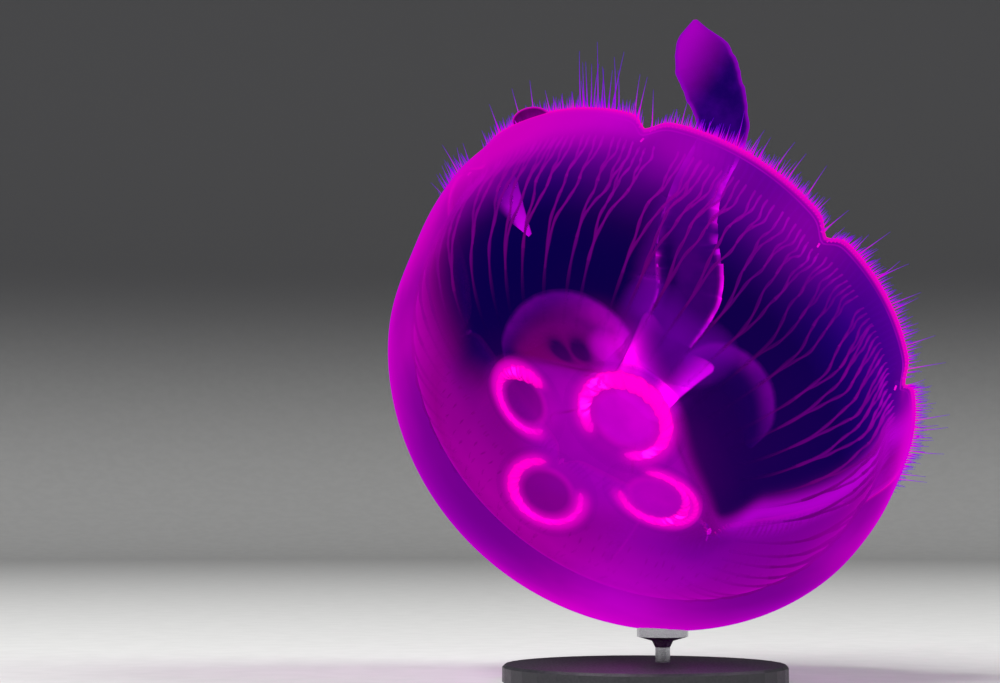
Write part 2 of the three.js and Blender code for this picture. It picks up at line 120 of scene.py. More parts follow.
# ---------------------------------------------------------------- small helpers

BODY_TO_ROW = (
    Matrix.Translation(MARGIN_CENTRE)
    @ Matrix.Rotation(math.radians(HEADING), 4, "Z")
    @ Matrix.Rotation(math.radians(TIP_OVER), 4, "Y")
    @ Matrix.Rotation(math.radians(SPIN), 4, "Z")
)
TURN = np.array(BODY_TO_ROW)[:3, :3]
SHIFT = np.array(BODY_TO_ROW)[:3, 3]


def to_row(points):
    """Points of the animal's own frame, in millimetres, as points of the row frame, in metres."""
    return (np.asarray(points, float).reshape(-1, 3) @ TURN.T + SHIFT) * MM


def smoothstep(value, low, high):
    share = np.clip((value - low) / (high - low), 0, 1)
    return share * share * (3 - 2 * share)


def near(value, middle, half_width):
    """1 at the middle, falling off to both sides."""
    return np.exp(-((value - middle) / half_width) ** 2)


def angle_gap(degrees, middle):
    """From an angle to another the short way round, in degrees."""
    return (np.asarray(degrees) - middle + 180) % 360 - 180


def near_angle(degrees, middle, half_width):
    return near(angle_gap(degrees, middle), 0, half_width)


def unit(vectors):
    return vectors / np.maximum(np.linalg.norm(vectors, axis=-1, keepdims=True), 1e-9)


def catmull_rom(points, count):
    """A smooth row of `count` points through a few, evenly spaced by length."""
    points = np.asarray(points, float)
    padded = np.vstack([2 * points[0] - points[1], points, 2 * points[-1] - points[-2]])
    dense = []
    for i in range(1, len(padded) - 2):
        a, b, c, d = padded[i - 1:i + 3]
        for t in np.linspace(0, 1, 24, endpoint=False):
            dense.append(0.5 * (2 * b + (c - a) * t + (2 * a - 5 * b + 4 * c - d) * t ** 2
                                + (3 * b - a - 3 * c + d) * t ** 3))
    dense.append(padded[-2])
    dense = np.array(dense)
    step = np.linalg.norm(np.diff(dense[:, :3], axis=0), axis=1)
    length = np.concatenate([[0], np.cumsum(step)])
    wanted = np.linspace(0, length[-1], count)
    return np.stack([np.interp(wanted, length, column) for column in dense.T], axis=1)


def grid_faces(rows, columns, closed=True, first=0):
    """Quads over rows of points; closed joins each row's last point to its first."""
    row = np.arange(rows - 1)[:, None]
    column = np.arange(columns if closed else columns - 1)[None, :]
    after = (column + 1) % columns
    quads = np.stack([
        row * columns + column, row * columns + after,
        (row + 1) * columns + after, (row + 1) * columns + column,
    ], axis=-1)
    return (quads.reshape(-1, 4) + first).tolist()


def capped_faces(rows, columns, first=0):
    """The quads of a closed tube of points, and a face at each of its ends."""
    last = first + (rows - 1) * columns
    ends = [tuple(first + i for i in reversed(range(columns)))]
    ends.append(tuple(last + i for i in range(columns)))
    return grid_faces(rows, columns, first=first) + ends


def make_piece(name, points, faces, materials, values=None, body_points=None, face_material=None):
    """A smooth mesh in the row frame. values holds a float for each point, by name."""
    mesh = bpy.data.meshes.new(name)
    mesh.from_pydata(to_row(points).tolist(), [], faces)
    for material in materials:
        mesh.materials.append(material)
    if face_material is not None:
        mesh.polygons.foreach_set("material_index", np.asarray(face_material, np.int32))
    mesh.polygons.foreach_set("use_smooth", [True] * len(mesh.polygons))
    for key, numbers in (values or {}).items():
        attribute = mesh.attributes.new(key, "FLOAT", "POINT")
        attribute.data.foreach_set("value", np.asarray(numbers, np.float32).ravel())
    places = np.asarray(points if body_points is None else body_points, np.float32)
    attribute = mesh.attributes.new("body", "FLOAT_VECTOR", "POINT")
    attribute.data.foreach_set("vector", (places.reshape(-1, 3) * MM).ravel())
    mesh.validate()
    piece = bpy.data.objects.new(name, mesh)
    bpy.context.scene.collection.objects.link(piece)
    return piece


def settle(piece, slot, *replaced):
    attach(piece, "root")
    if replaced:
        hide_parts(*replaced)
    return piece


# ---------------------------------------------------------------- the bell's shape

def bell_point(azimuth, radius, z):
    """A point of the bell, with the oval, the sway and the stroke worked in."""
    azimuth, radius, z = np.broadcast_arrays(azimuth, radius, z)
    weight = (1 - z / BELL_HEIGHT) ** 2
    oval = OVAL_AMOUNT * np.cos(2 * (azimuth - math.radians(OVAL_AZIMUTH)))
    sway = SWAY_AMOUNT * np.cos(azimuth - math.radians(SWAY_AZIMUTH))
    low = np.maximum(0, 1 - z / DRAW_IN_HEIGHT) ** 1.5
    side = smoothstep(np.cos(azimuth - math.radians(DRAW_IN_AZIMUTH)), -0.1, 0.4)
    change = weight * (oval + sway) - DRAW_IN_AMOUNT * low * side
    reach = radius * (1 + change * smoothstep(radius, 40, 80))
    return np.stack([reach * np.cos(azimuth), reach * np.sin(azimuth), z], axis=-1)


def outer_radius(z):
    fall = 1 - z / BELL_WIDEST_Z
    low = BELL_RADIUS - (BELL_RADIUS - MARGIN_RADIUS) * fall * np.abs(fall)
    rise = (z - BELL_WIDEST_Z) / (BELL_HEIGHT - BELL_WIDEST_Z)
    high = BELL_RADIUS * np.sqrt(np.clip(1 - rise * rise, 0, None))
    return np.where(z < BELL_WIDEST_Z, low, high)


def inner_radius(z):
    rim = MARGIN_RADIUS - MARGIN_THICKNESS
    rise = np.clip(z, 0, HOLLOW_WIDEST_Z) / HOLLOW_WIDEST_Z
    low = rim + (HOLLOW_RADIUS - rim) * rise * (2 - rise)
    rise = np.clip((z - HOLLOW_WIDEST_Z) / (HOLLOW_HEIGHT - HOLLOW_WIDEST_Z), 0, 1)
    high = HOLLOW_RADIUS * (1 - rise ** HOLLOW_POWER) ** (1 / HOLLOW_POWER)
    return np.where(z < HOLLOW_WIDEST_Z, low, high)


def notch_spans():
    ends = list(NOTCH_AZIMUTHS[1:]) + [NOTCH_AZIMUTHS[0] + 360]
    return list(zip(NOTCH_AZIMUTHS, ends))


NOTCH_WIDTH = 2.4  # degrees from a notch's middle to where it fades
NOTCH_DEPTH = 5.5
# how far the margin is drawn in at a notch, over how many degrees, and the heights where that
# ends and is full
NOTCH_PULL = (1.6, 2.1, 24, 2)
DEEP_NOTCH_PULL = (7.0, 4.0, 12, 6)
DEEP_NOTCH = 4


def edge_height(azimuth_degrees):
    """Height of the bell's free edge, with its lobes and notches."""
    azimuth = np.asarray(azimuth_degrees, float)
    azimuth = np.where(azimuth < NOTCH_AZIMUTHS[0], azimuth + 360, azimuth)
    height = np.zeros_like(azimuth)
    for start, end in notch_spans():
        along = np.clip((azimuth - start) / (end - start), 0, 1)
        inside = (azimuth >= start) & (azimuth <= end)
        lobe = NOTCH_Z - LOBE_DROP * np.sin(np.pi * along) ** 0.6
        notch = NOTCH_DEPTH * near(np.minimum(azimuth - start, end - azimuth), 0, NOTCH_WIDTH)
        height = np.where(inside, lobe + notch, height)
    return height


def margin_pull(degrees, z):
    """How far the margin is drawn in beside the notches."""
    total = 0.0
    for index, notch in enumerate(NOTCH_AZIMUTHS):
        amount, half_width, top, full = DEEP_NOTCH_PULL if index == DEEP_NOTCH else NOTCH_PULL
        total = total + amount * near_angle(degrees, notch, half_width) * smoothstep(z, top, full)
    return total


# azimuth, height, their half widths, and how far the outside is flattened there
FLAT_SIDE = (186, 46, 15, 22, 2.8)


def flattening(azimuth, z):
    middle, height, half_width, half_height, amount = FLAT_SIDE
    across = near_angle(np.degrees(azimuth), middle, half_width)
    return amount * across * near(z, height, half_height)


# ---------------------------------------------------------------- materials

class Nodes:
    """A short way to write a material's node tree."""

    def __init__(self, name):
        self.material = bpy.data.materials.new(name)
        self.material.use_nodes = True
        self.material.cycles.emission_sampling = "NONE"
        self.tree = self.material.node_tree
        self.tree.nodes.clear()
        self.output = self.add("ShaderNodeOutputMaterial")

    def feed(self, socket, value):
        if isinstance(value, bpy.types.NodeSocket):
            self.tree.links.new(value, socket)
        else:
            socket.default_value = (*value, 1) if socket.type == "RGBA" else value

    def add(self, kind, inputs=(), **settings):
        node = self.tree.nodes.new(kind)
        for key, value in settings.items():
            setattr(node, key, value)
        for key, value in dict(inputs).items():
            self.feed(node.inputs[key], value)
        return node

    def values(self, *names):
        """The mesh's own values of these names."""
        return [self.add("ShaderNodeAttribute", attribute_name=name).outputs["Fac"]
                for name in names]

    def value(self, name):
        return self.values(name)[0]

    def math(self, operation, a, b=0.0):
        return self.add("ShaderNodeMath", {0: a, 1: b}, operation=operation).outputs[0]

    def times(self, *factors):
        return reduce(lambda a, b: self.math("MULTIPLY", a, b), factors)

    def plus(self, *terms):
        return reduce(lambda a, b: self.math("ADD", a, b), terms)

    def power(self, value, exponent):
        return self.math("POWER", value, exponent)

    def rest(self, value):
        return self.math("SUBTRACT", 1.0, value)

    def remap(self, value, low, high, to_low=0.0, to_high=1.0):
        inputs = dict(enumerate((value, low, high, to_low, to_high)))
        return self.add("ShaderNodeMapRange", inputs, interpolation_type="SMOOTHSTEP").outputs[0]

    def noise(self, scale, detail=3.0, roughness=0.5, place=None):
        """A cloudy pattern, fixed to the animal's own frame where no other place is given."""
        if place is None:
            place = self.add("ShaderNodeAttribute", attribute_name="body").outputs["Vector"]
        inputs = {"Vector": place, "Scale": scale, "Detail": detail, "Roughness": roughness}
        return self.add("ShaderNodeTexNoise", inputs).outputs["Fac"]

    def object_place(self, stretch=(1, 1, 1)):
        place = self.add("ShaderNodeTexCoord").outputs["Object"]
        return self.add("ShaderNodeMapping", {"Vector": place, "Scale": stretch}).outputs[0]

    def mix(self, factor, a, b, blend="MIX"):
        node = self.add("ShaderNodeMix", {0: factor, 6: a, 7: b}, data_type="RGBA",
                        blend_type=blend)
        return node.outputs[2]

    def mix_value(self, factor, a, b):
        return self.add("ShaderNodeMix", {0: factor, 2: a, 3: b}, data_type="FLOAT").outputs[0]

    def clouded(self, cloud, a, b, low=0.3, high=0.7):
        """One colour in a pattern's troughs and another on its heights."""
        return self.mix(self.remap(cloud, low, high), a, b)

    def ramp(self, value, stops):
        node = self.add("ShaderNodeValToRGB", {0: value})
        elements = node.color_ramp.elements
        while len(elements) < len(stops):
            elements.new(0.5)
        for element, (place, colour) in zip(elements, stops):
            element.position = place
            element.color = (*colour, 1)
        return node.outputs["Color"]

    def facing(self):
        """1 where the surface is seen head on, 0 where it is seen edge on."""
        return self.rest(self.add("ShaderNodeLayerWeight").outputs["Facing"])

    def backfacing(self):
        return self.add("ShaderNodeNewGeometry").outputs["Backfacing"]

    def film(self, depth, floor=0.06):
        """How much a thin film of this optical depth hides at the angle it is seen from."""
        length = self.math("DIVIDE", depth, self.math("MAXIMUM", self.facing(), floor))
        return self.rest(self.math("EXPONENT", self.times(length, -1.0)))

    def surface(self, colour, glow=None, roughness=0.3, specular=0.25, metallic=0.0,
                normal=None):
        inputs = {"Base Color": colour, "Roughness": roughness, "Metallic": metallic,
                  "Specular IOR Level": specular}
        if glow is not None:
            inputs |= {"Emission Color": glow, "Emission Strength": 1.0}
        if normal is not None:
            inputs["Normal"] = normal
        return self.add("ShaderNodeBsdfPrincipled", inputs).outputs[0]

    def finish(self, shader):
        self.feed(self.output.inputs["Surface"], shader)
        return self.material

    def tissue(self, glow, cover, tint, roughness=0.3, specular=0.0):
        """Clear tissue: its glow shows by its cover, and its tint colours what lies behind it.
        Its base colour is black and it reflects little or nothing, so its colour is all painted
        glow.
        """
        glowing = self.surface((0, 0, 0), glow, roughness, specular)
        clear = self.add("ShaderNodeBsdfTransparent", {"Color": tint}).outputs[0]
        mixed = self.add("ShaderNodeMixShader", {0: cover, 1: clear, 2: glowing})
        return self.finish(mixed.outputs[0])


# Colours of the tissue's painted glow.
HOT_PINK = (1.0, 0.0, 0.50)
VIOLET = (0.13, 0.0, 0.30)
BLUE_VIOLET = (0.16, 0.0, 0.80)


def outer_jelly():
    """The outside of the bell: clear head on, bright where it is seen edge on."""
    n = Nodes("outer_jelly")
    facing, behind = n.facing(), n.backfacing()
    painted_haze, thin, edge, violet, painted_shade = n.values("painted_haze", "thin", "edge", "violet", "painted_shade")
    rim = n.times(n.power(edge, 4.0), n.remap(thin, 0.2, 1.0, 1.0, 0.0))
    streaks = n.remap(n.noise(9.0, 4.0, 0.55), 0.3, 0.7, 0.5, 1.5)
    front_glow = n.ramp(facing, (
        (0.0, BLUE_VIOLET), (0.05, (0.68, 0.0, 0.64)), (0.16, (0.74, 0.0, 0.60)),
        (0.5, (0.50, 0.0, 0.50)),
    ))
    painted_haze_glow = n.mix(violet, (0.62, 0.0, 0.50), (0.64, 0.0, 0.82))
    back_glow = n.ramp(facing, (
        (0.0, (0.36, 0.0, 0.56)), (0.2, (0.22, 0.0, 0.36)), (0.45, (0.15, 0.0, 0.26)),
    ))
    glow = n.mix(behind, n.mix(painted_haze, front_glow, painted_haze_glow), back_glow)
    glow = n.mix(rim, glow, HOT_PINK)
    # The jelly's own thin cover, thinner over the painted shade so that it shows through, and
    # thicker under the painted glow spots.
    jelly_and_haze_depth = n.plus(n.remap(painted_shade, 0.0, 1.0, 0.045, 0.002), n.times(painted_haze, 0.85))
    far_depth = n.times(behind, n.remap(thin, 0.0, 1.0, 3.0, 0.15))
    depth = n.plus(n.times(jelly_and_haze_depth, streaks), n.times(rim, 2.0), far_depth)
    return n.tissue(glow, n.film(depth), (0.92, 0.03, 0.96), roughness=0.25)


def lining():
    """The inside of the bell, stomach and mouth tube.

    Seen through the jelly it is painted shade over the dark sector, dark and nearly solid, and
    clear elsewhere. Seen from inside the bell it glows, most towards the top, and is painted
    darker over the dark sector. The mouth tube's pillars are brightest.
    """
    n = Nodes("lining")
    rise, organ, pillar, lit, painted_shade = n.values("rise", "organ", "pillar", "lit", "painted_shade")
    band, crest, edge, violet = n.values("band", "crest", "edge", "violet")
    rim = n.power(edge, 4.0)
    cloud = n.noise(14.0, 4.0, 0.55)
    behind = n.backfacing()

    # Painted shade: the wall over the dark sector, seen through the jelly, is drawn dark.
    dark_wall = n.ramp(rise, (
        (0.02, (0.10, 0.0, 0.33)), (0.09, (0.055, 0.0, 0.27)), (0.19, (0.028, 0.0, 0.21)),
        (0.30, (0.008, 0.0, 0.14)), (0.42, (0.000, 0.0, 0.078)), (0.66, (0.0, 0.0, 0.068)),
    ))
    clear_wall = n.ramp(rise, (
        (0.03, (0.32, 0.0, 0.40)), (0.15, (0.21, 0.0, 0.25)), (0.45, (0.20, 0.0, 0.25)),
        (0.66, (0.22, 0.0, 0.25)),
    ))
    pinker_wall = n.mix(1.0, clear_wall, (1.0, 1.0, 0.66), "MULTIPLY")
    clear_wall = n.mix(violet, pinker_wall, clear_wall)
    stomach = n.clouded(cloud, (0.24, 0.0, 0.36), (0.40, 0.0, 0.47), 0.35, 0.65)
    through = n.mix(painted_shade, clear_wall, dark_wall)
    through = n.mix(band, through, (0.50, 0.0, 0.66))
    through = n.mix(organ, through, stomach)

    inner = n.ramp(rise, (
        (0.0, (1.10, 0.0, 1.20)), (0.05, (0.80, 0.0, 1.00)), (0.12, (0.30, 0.0, 0.46)),
        (0.20, (0.38, 0.0, 0.52)), (0.28, (0.62, 0.0, 0.66)), (0.42, (0.88, 0.0, 0.80)),
        (0.70, (0.70, 0.0, 0.68)),
    ))
    inner = n.mix(n.remap(cloud, 0.3, 0.7, 0.0, 0.35), inner, VIOLET)
    # painted shade over the dark sector, seen from inside the bell
    inner = n.mix(n.times(painted_shade, 0.85), inner, (0.13, 0.0, 0.32))
    inner = n.mix(organ, inner, (0.50, 0.0, 0.62))
    lit_tube = n.times(organ, lit, n.remap(rise, 0.50, 0.42))
    inner = n.mix(lit_tube, inner, (1.2, 0.0, 1.2))
    ridge = n.times(pillar, n.power(n.facing(), 1.3))
    inner = n.mix(ridge, inner, (0.95, 0.0, 0.85))
    bright = n.mix(n.remap(rise, 0.40, 0.26), (8.0, 0.0, 5.0), (50.0, 0.0, 22.0))
    inner = n.mix(n.times(ridge, lit), inner, bright)

    glow = n.mix(behind, inner, through)
    high = n.math("MAXIMUM", n.times(painted_shade, n.remap(rise, 0.08, 0.2)), crest)
    # painted glow where the lining is seen edge on, except over the painted shade and at the crest
    grazing = n.times(n.power(n.rest(n.facing()), 5.0), n.remap(high, 0.0, 1.0, 0.8, 0.0))
    glow = n.mix(grazing, glow, (0.60, 0.0, 0.58))
    glow = n.mix(rim, glow, (0.85, 0.0, 0.52))

    # the painted shade's sheet is thicker, so that it hides what lies behind it
    dark_depth = n.plus(1.4, n.times(n.remap(rise, 0.32, 0.12), 0.3))
    through_depth = n.plus(n.remap(painted_shade, 0.0, 1.0, 0.45, dark_depth), n.times(band, 0.9), organ)
    inner_depth = n.remap(organ, 0.0, 1.0, n.remap(painted_shade, 0.0, 1.0, 2.4, 1.4), 0.9)
    depth = n.plus(n.mix_value(behind, inner_depth, through_depth), n.times(rim, 1.5))
    film = n.film(depth, n.remap(crest, 0.0, 1.0, 0.06, 0.85))
    soft = n.mix_value(organ, 1.0, n.remap(n.facing(), 0.0, 0.6))
    whole = n.remap(n.value("thin"), 0.0, 1.0, 1.0, 0.15)
    cover = n.times(film, soft, n.value("solid"), whole)
    clear_tint = n.mix(violet, (0.64, 0.02, 0.60), (0.62, 0.02, 0.82))
    return n.tissue(glow, cover, n.mix(painted_shade, clear_tint, (0.20, 0.01, 0.46)))


def oral_tissue():
    """Clear jelly that shows only as a faint glow, thickest where seen head on, with painted light
    on its lit side.
    """
    n = Nodes("oral_tissue")
    cloud = n.remap(n.noise(28.0, 3.0, 0.5), 0.3, 0.7, 0.35, 0.60)
    glow = n.mix(n.value("lit"), (0.40, 0.0, 0.46), (3.6, 0.0, 3.1))
    cover = n.times(n.power(n.facing(), 2.0), cloud, n.rest(n.backfacing()))
    return n.tissue(glow, cover, (0.95, 0.5, 0.97))


def gonad_tissue():
    """Frilled bands that fade towards their outlines, with painted highlights and creases of painted
    shade.
    """
    n = Nodes("gonad_tissue")
    fold, broad = n.noise(170.0, 3.0, 0.6), n.noise(50.0, 2.0, 0.5)
    thick, shine, solid = n.values("thick", "shine", "solid")
    glow = n.clouded(broad, (1.6, 0.0, 0.80), (1.5, 0.0, 1.0), 0.35, 0.65)
    glow = n.mix(n.times(thick, 0.75), glow, (2.0, 0.0, 0.75))
    # painted shade in the frill's creases
    glow = n.mix(n.remap(fold, 0.35, 0.7, 0.0, 0.30), glow, (0.95, 0.0, 0.74))
    # painted highlights on the frill's ridges, where it is seen head on
    ridge = n.times(shine, n.remap(fold, 0.36, 0.52), n.remap(n.facing(), 0.55, 0.90))
    glow = n.mix(ridge, glow, (2.4, 0.50, 1.9))
    cover = n.times(solid, n.power(n.facing(), 1.9))
    return n.tissue(glow, cover, (0.95, 0.2, 0.9), roughness=0.35, specular=0.1)


def pouch_tissue():
    """The thin pouch that each gonad lies in: a painted glow along the gonad, darker in its middle.
    """
    n = Nodes("pouch_tissue")
    bright, middle, solid = n.values("bright", "middle", "solid")
    glow = n.mix(bright, (0.09, 0.0, 0.13), (0.85, 0.0, 0.80))
    glow = n.mix(n.remap(n.noise(55.0, 3.0, 0.5), 0.3, 0.7, 0.0, 0.25), glow, VIOLET)
    glow = n.mix(middle, (1.05, 0.0, 0.70), glow)
    return n.tissue(glow, solid, (0.95, 0.2, 0.97))


def arm_tissue():
    """A thin ribbon: violet faces with painted light on their lit parts, and frilled edges with
    bright knots.
    """
    n = Nodes("arm_tissue")
    trim, flap, lit, lit_trim = n.values("trim", "flap", "lit", "lit_trim")
    tip, fade = n.values("tip", "fade")
    cloud, grain = n.noise(70.0, 4.0, 0.6), n.noise(260.0, 3.0, 0.6)
    knots = n.noise(95.0, 1.0, 0.4)
    # Painted light: the faces' lit parts glow far brighter than the rest, and so do the edges' lit
    # knots.
    unlit_face = n.clouded(cloud, (0.26, 0.0, 0.40), (0.52, 0.0, 0.60))
    ridge = n.clouded(cloud, (4.2, 0.0, 2.9), (6.0, 0.0, 3.6))
    outside = n.clouded(cloud, (0.010, 0.0, 0.11), (0.035, 0.0, 0.19))
    outside = n.mix(tip, outside, (0.40, 0.0, 0.52))
    face = n.mix(flap, n.mix(lit, unlit_face, ridge), outside)
    edging = n.clouded(grain, (0.9, 0.0, 0.8), (1.5, 0.0, 1.0), 0.4, 0.6)
    lit_edging = n.clouded(knots, (20.0, 0.0, 10.0), (42.0, 0.0, 16.0), 0.45, 0.62)
    edging = n.mix(lit_trim, edging, lit_edging)
    edging = n.mix(flap, edging, (0.26, 0.0, 0.48))
    depth = n.plus(n.times(trim, 1.2), 0.75, flap)
    cover = n.times(n.film(depth), fade)
    tint = n.mix(cover, (0.97, 0.9, 0.98), (0.6, 0.1, 0.85))
    return n.tissue(n.mix(trim, face, edging), cover, tint)


def lappet_tissue():
    n = Nodes("lappet_tissue")
    shaded_under, along, fade = n.values("shaded_under", "along", "fade")
    # Painted light and shade: the top glows bright and the underside is drawn darker.
    glow = n.clouded(n.noise(80.0, 3.0), (18.0, 0.0, 10.0), (28.0, 0.0, 14.0))
    glow = n.mix(shaded_under, glow, (0.5, 0.0, 0.5))
    return n.tissue(glow, n.times(n.film(1.1), n.remap(along, -0.1, 0.5), fade), (0.9, 0.3, 0.95))


def margin_fold_tissue():
    n = Nodes("margin_fold_tissue")
    glow = n.clouded(n.noise(150.0, 2.0), (0.09, 0.0, 0.10), (0.16, 0.0, 0.16))
    glow = n.mix(n.remap(n.value("near_edge"), 0.86, 1.0), glow, (0.75, 0.0, 0.55))
    return n.tissue(glow, n.film(1.6), (0.5, 0.02, 0.7))


def canal_tissue():
    """Fine canals in the jelly, which fade out towards the stomach."""
    n = Nodes("canal_tissue")
    along, solid = n.values("along", "solid")
    glow = n.ramp(along, (
        (0.10, (0.13, 0.0, 0.15)), (0.55, (0.25, 0.0, 0.30)), (0.85, (0.46, 0.0, 0.56)),
    ))
    glow = n.mix(n.remap(n.noise(30.0, 3.0, 0.6), 0.35, 0.7, 0.0, 0.55), glow, (0.10, 0.0, 0.20))
    cover = n.times(n.power(n.facing(), 1.6), n.remap(along, 0.0, 0.2), solid)
    return n.tissue(glow, cover, (0.97, 0.5, 0.98))


def tentacle_tissue():
    n = Nodes("tentacle_tissue")
    along = n.value("along")
    glow = n.ramp(along, (
        (0.0, (1.0, 0.0, 0.50)), (0.18, (0.85, 0.0, 0.70)), (0.5, (0.42, 0.0, 0.85)),
        (1.0, (0.10, 0.0, 0.70)),
    ))
    return n.tissue(glow, n.remap(along, 0.2, 1.0, 0.95, 0.55), (0.8, 0.5, 1.0))


def sense_organ_tissue():
    n = Nodes("sense_organ_tissue")
    glow = n.clouded(n.noise(500.0, 2.0), (1.0, 0.05, 0.6), (1.0, 0.35, 0.85), 0.4, 0.6)
    return n.finish(n.surface((0.6, 0.1, 0.4), glow))


def satin_paint():
    n = Nodes("satin_paint")
    fine = n.noise(900.0, 2.0, place=n.object_place())
    colour = n.clouded(fine, (0.018, 0.019, 0.022), (0.030, 0.031, 0.035))
    bump = n.add("ShaderNodeBump", {"Height": fine, "Strength": 0.12, "Distance": 0.0002})
    rough = n.remap(fine, 0.3, 0.7, 0.36, 0.5)
    return n.finish(n.surface(colour, roughness=rough, specular=0.5, normal=bump.outputs[0]))


def satin_steel():
    n = Nodes("satin_steel")
    fine = n.noise(300.0, 2.0, place=n.object_place((1, 1, 30)))
    colour = n.clouded(fine, (0.50, 0.51, 0.53), (0.62, 0.63, 0.65))
    rough = n.remap(fine, 0.3, 0.7, 0.22, 0.36)
    return n.finish(n.surface(colour, roughness=rough, specular=0.5, metallic=1.0))


def floor_paper():
    """Pale paper on the floor, with painted shade that grows darker up the wall behind."""
    n = Nodes("floor_paper")
    fine = n.noise(60.0, 2.0, place=n.object_place())
    colour = n.clouded(fine, (0.70, 0.70, 0.69), (0.73, 0.73, 0.72))
    height = n.add("ShaderNodeSeparateXYZ", {0: n.object_place()}).outputs["Z"]
    # painted shade: darker with height up the wall, in place of the light falling off
    colour = n.mix(n.remap(height, 0.0, 0.55), colour, (0.13, 0.13, 0.135))
    return n.finish(n.surface(colour, roughness=0.8, specular=0.1))


# ---------------------------------------------------------------- camera, lights and floor

CAMERA_PLACE = (-0.06696, -1.09785, 0.08052)
CAMERA_PITCH = 4.0
CAMERA_LENS = 85.0
CAMERA_SENSOR = 36.0


def add_camera():
    data = bpy.data.cameras.new("camera")
    data.lens = CAMERA_LENS
    data.sensor_width = CAMERA_SENSOR
    camera = bpy.data.objects.new("camera", data)
    camera.location = CAMERA_PLACE
    camera.rotation_euler = (math.radians(90 + CAMERA_PITCH), 0, 0)
    bpy.context.scene.collection.objects.link(camera)
    bpy.context.scene.camera = camera


def add_area_light(name, place, target, size, power):
    data = bpy.data.lights.new(name, "AREA")
    data.shape = "DISK"
    data.size = size
    data.energy = power
    light = bpy.data.objects.new(name, data)
    light.location = place
    way = Matrix.Translation(target).translation - Matrix.Translation(place).translation
    light.rotation_euler = way.to_track_quat("-Z", "Y").to_euler()
    bpy.context.scene.collection.objects.link(light)


def add_lights():
    add_area_light("key", (-1.3, -1.1, 2.0), (0, 0, 0.05), 1.6, 80)
    add_area_light("fill", (1.7, -0.4, 1.7), (0, 0, 0.05), 1.6, 38)
    world = bpy.data.worlds.new("studio")
    world.use_nodes = True
    background = world.node_tree.nodes["Background"]
    background.inputs["Color"].default_value = (0.9, 0.92, 0.95, 1)
    background.inputs["Strength"].default_value = 0.05
    bpy.context.scene.world = world


FLOOR_RADIUS = 2.6
FLOOR_CURVE = 1.0
WALL_HEIGHT = 2.6
FLOOR_SIDES = 96


def add_floor():
    """A pale floor that curves up into a wall all round, far behind the model."""
    profile = [(0.3 * FLOOR_RADIUS * step / 3, 0.0) for step in range(1, 4)]
    profile.append((FLOOR_RADIUS, 0.0))
    for step in range(1, 17):
        angle = step / 16 * math.pi / 2
        profile.append((FLOOR_RADIUS + FLOOR_CURVE * math.sin(angle),
                        FLOOR_CURVE * (1 - math.cos(angle))))
    profile.append((FLOOR_RADIUS + FLOOR_CURVE, WALL_HEIGHT))
    points = [(0.0, 0.0, 0.0)]
    for radius, z in profile:
        for side in range(FLOOR_SIDES):
            angle = TAU * side / FLOOR_SIDES
            points.append((radius * math.cos(angle), radius * math.sin(angle), z))
    faces = [tuple(face) for face in grid_faces(len(profile), FLOOR_SIDES, first=1)]
    faces += [(0, 1 + (side + 1) % FLOOR_SIDES, 1 + side) for side in range(FLOOR_SIDES)]
    mesh = bpy.data.meshes.new("floor")
    mesh.from_pydata(points, [], faces)
    mesh.materials.append(floor_paper())
    mesh.polygons.foreach_set("use_smooth", [True] * len(mesh.polygons))
    floor = bpy.data.objects.new("floor", mesh)
    bpy.context.scene.collection.objects.link(floor)


# ---------------------------------------------------------------- the skin

LOBE_COLUMNS = 48
OUTER_ROWS = 84
LOBE_ROWS = 12
RIM_ROWS = 7
WALL_ROWS = 60
ORGAN_ROWS = 84
EDGE_THICKNESS = 1.5
BEAD = EDGE_THICKNESS / 2
NEAR_EDGE = (0.6, 1.0)  # shares of a lobe's height where the edge's colour begins and is full
POLE_RADIUS = 0.3

# degrees and brightness of the mouth tube's four pillars
PILLAR_LOOKS = ((44, 1.0), (134, 0.5), (224, 0.9), (314, 0.3))
PILLAR_HALF_WIDTH = 20
THROAT_SOLID = 0.2  # how solid the pillars are inside the tube
BETWEEN_SOLID = 0.35  # how solid the tube is between its pillars at most
BETWEEN_FROM = (14, 40)  # heights where that begins and is full
TUBE_CLEAR_FROM = (60, 46)  # heights where the tube begins to be clear there, and is

# distances from the axis, by radius of the profile: where the stomach's look begins and is
# full, and where the stomach's lobing and the tube's corners fade in and out
ORGAN_FROM = (57, 40)
STOMACH_INNER = (22, 48)
STOMACH_OUTER = (76, 56)
TUBE_INNER = (2, 12)
TUBE_OUTER = (34, 14)

# the lining's profile from the bell's ceiling round the stomach to the throat: radius and z
ORGAN_PROFILE = (
    (78.2, 86), (74, 87.7), (69.5, 88.2), (65, 87.4), (60.5, 85.2), (55.5, 81.9), (50, 77.9),
    (45, 74.1), (40, 70.8), (34, 68.3), (25, 66.3), (18, 64), (14, 59), (12.6, 51), (12.8, 42),
    (14.2, 32), (16.3, 22), (18.2, 15.5), (18.0, 13.4), (16.2, 13.6), (14.6, 18), (13, 24),
    (10.5, 31), (7, 36), (3, 39.2), (0.4, 40),
)


def skin_azimuths():
    """Columns round the bell in degrees, close together at the notches."""
    columns = []
    for start, end in notch_spans():
        share = np.arange(LOBE_COLUMNS) / LOBE_COLUMNS
        eased = share - 0.11 * np.sin(TAU * share)
        columns.append(start + (end - start) * eased)
    return np.concatenate(columns)


# The dark sector and its spots are painted shade: there the lining is drawn dark and nearly solid,
# and the outer jelly clearer.
DARK_FROM = (29, 37)  # degrees where the dark sector of the wall begins and where it is full
DARK_TO = (196, 166)  # degrees where it ends and where it is still full
DARK_REACH = (63, 74)  # distances from the axis where it ends and where it is full
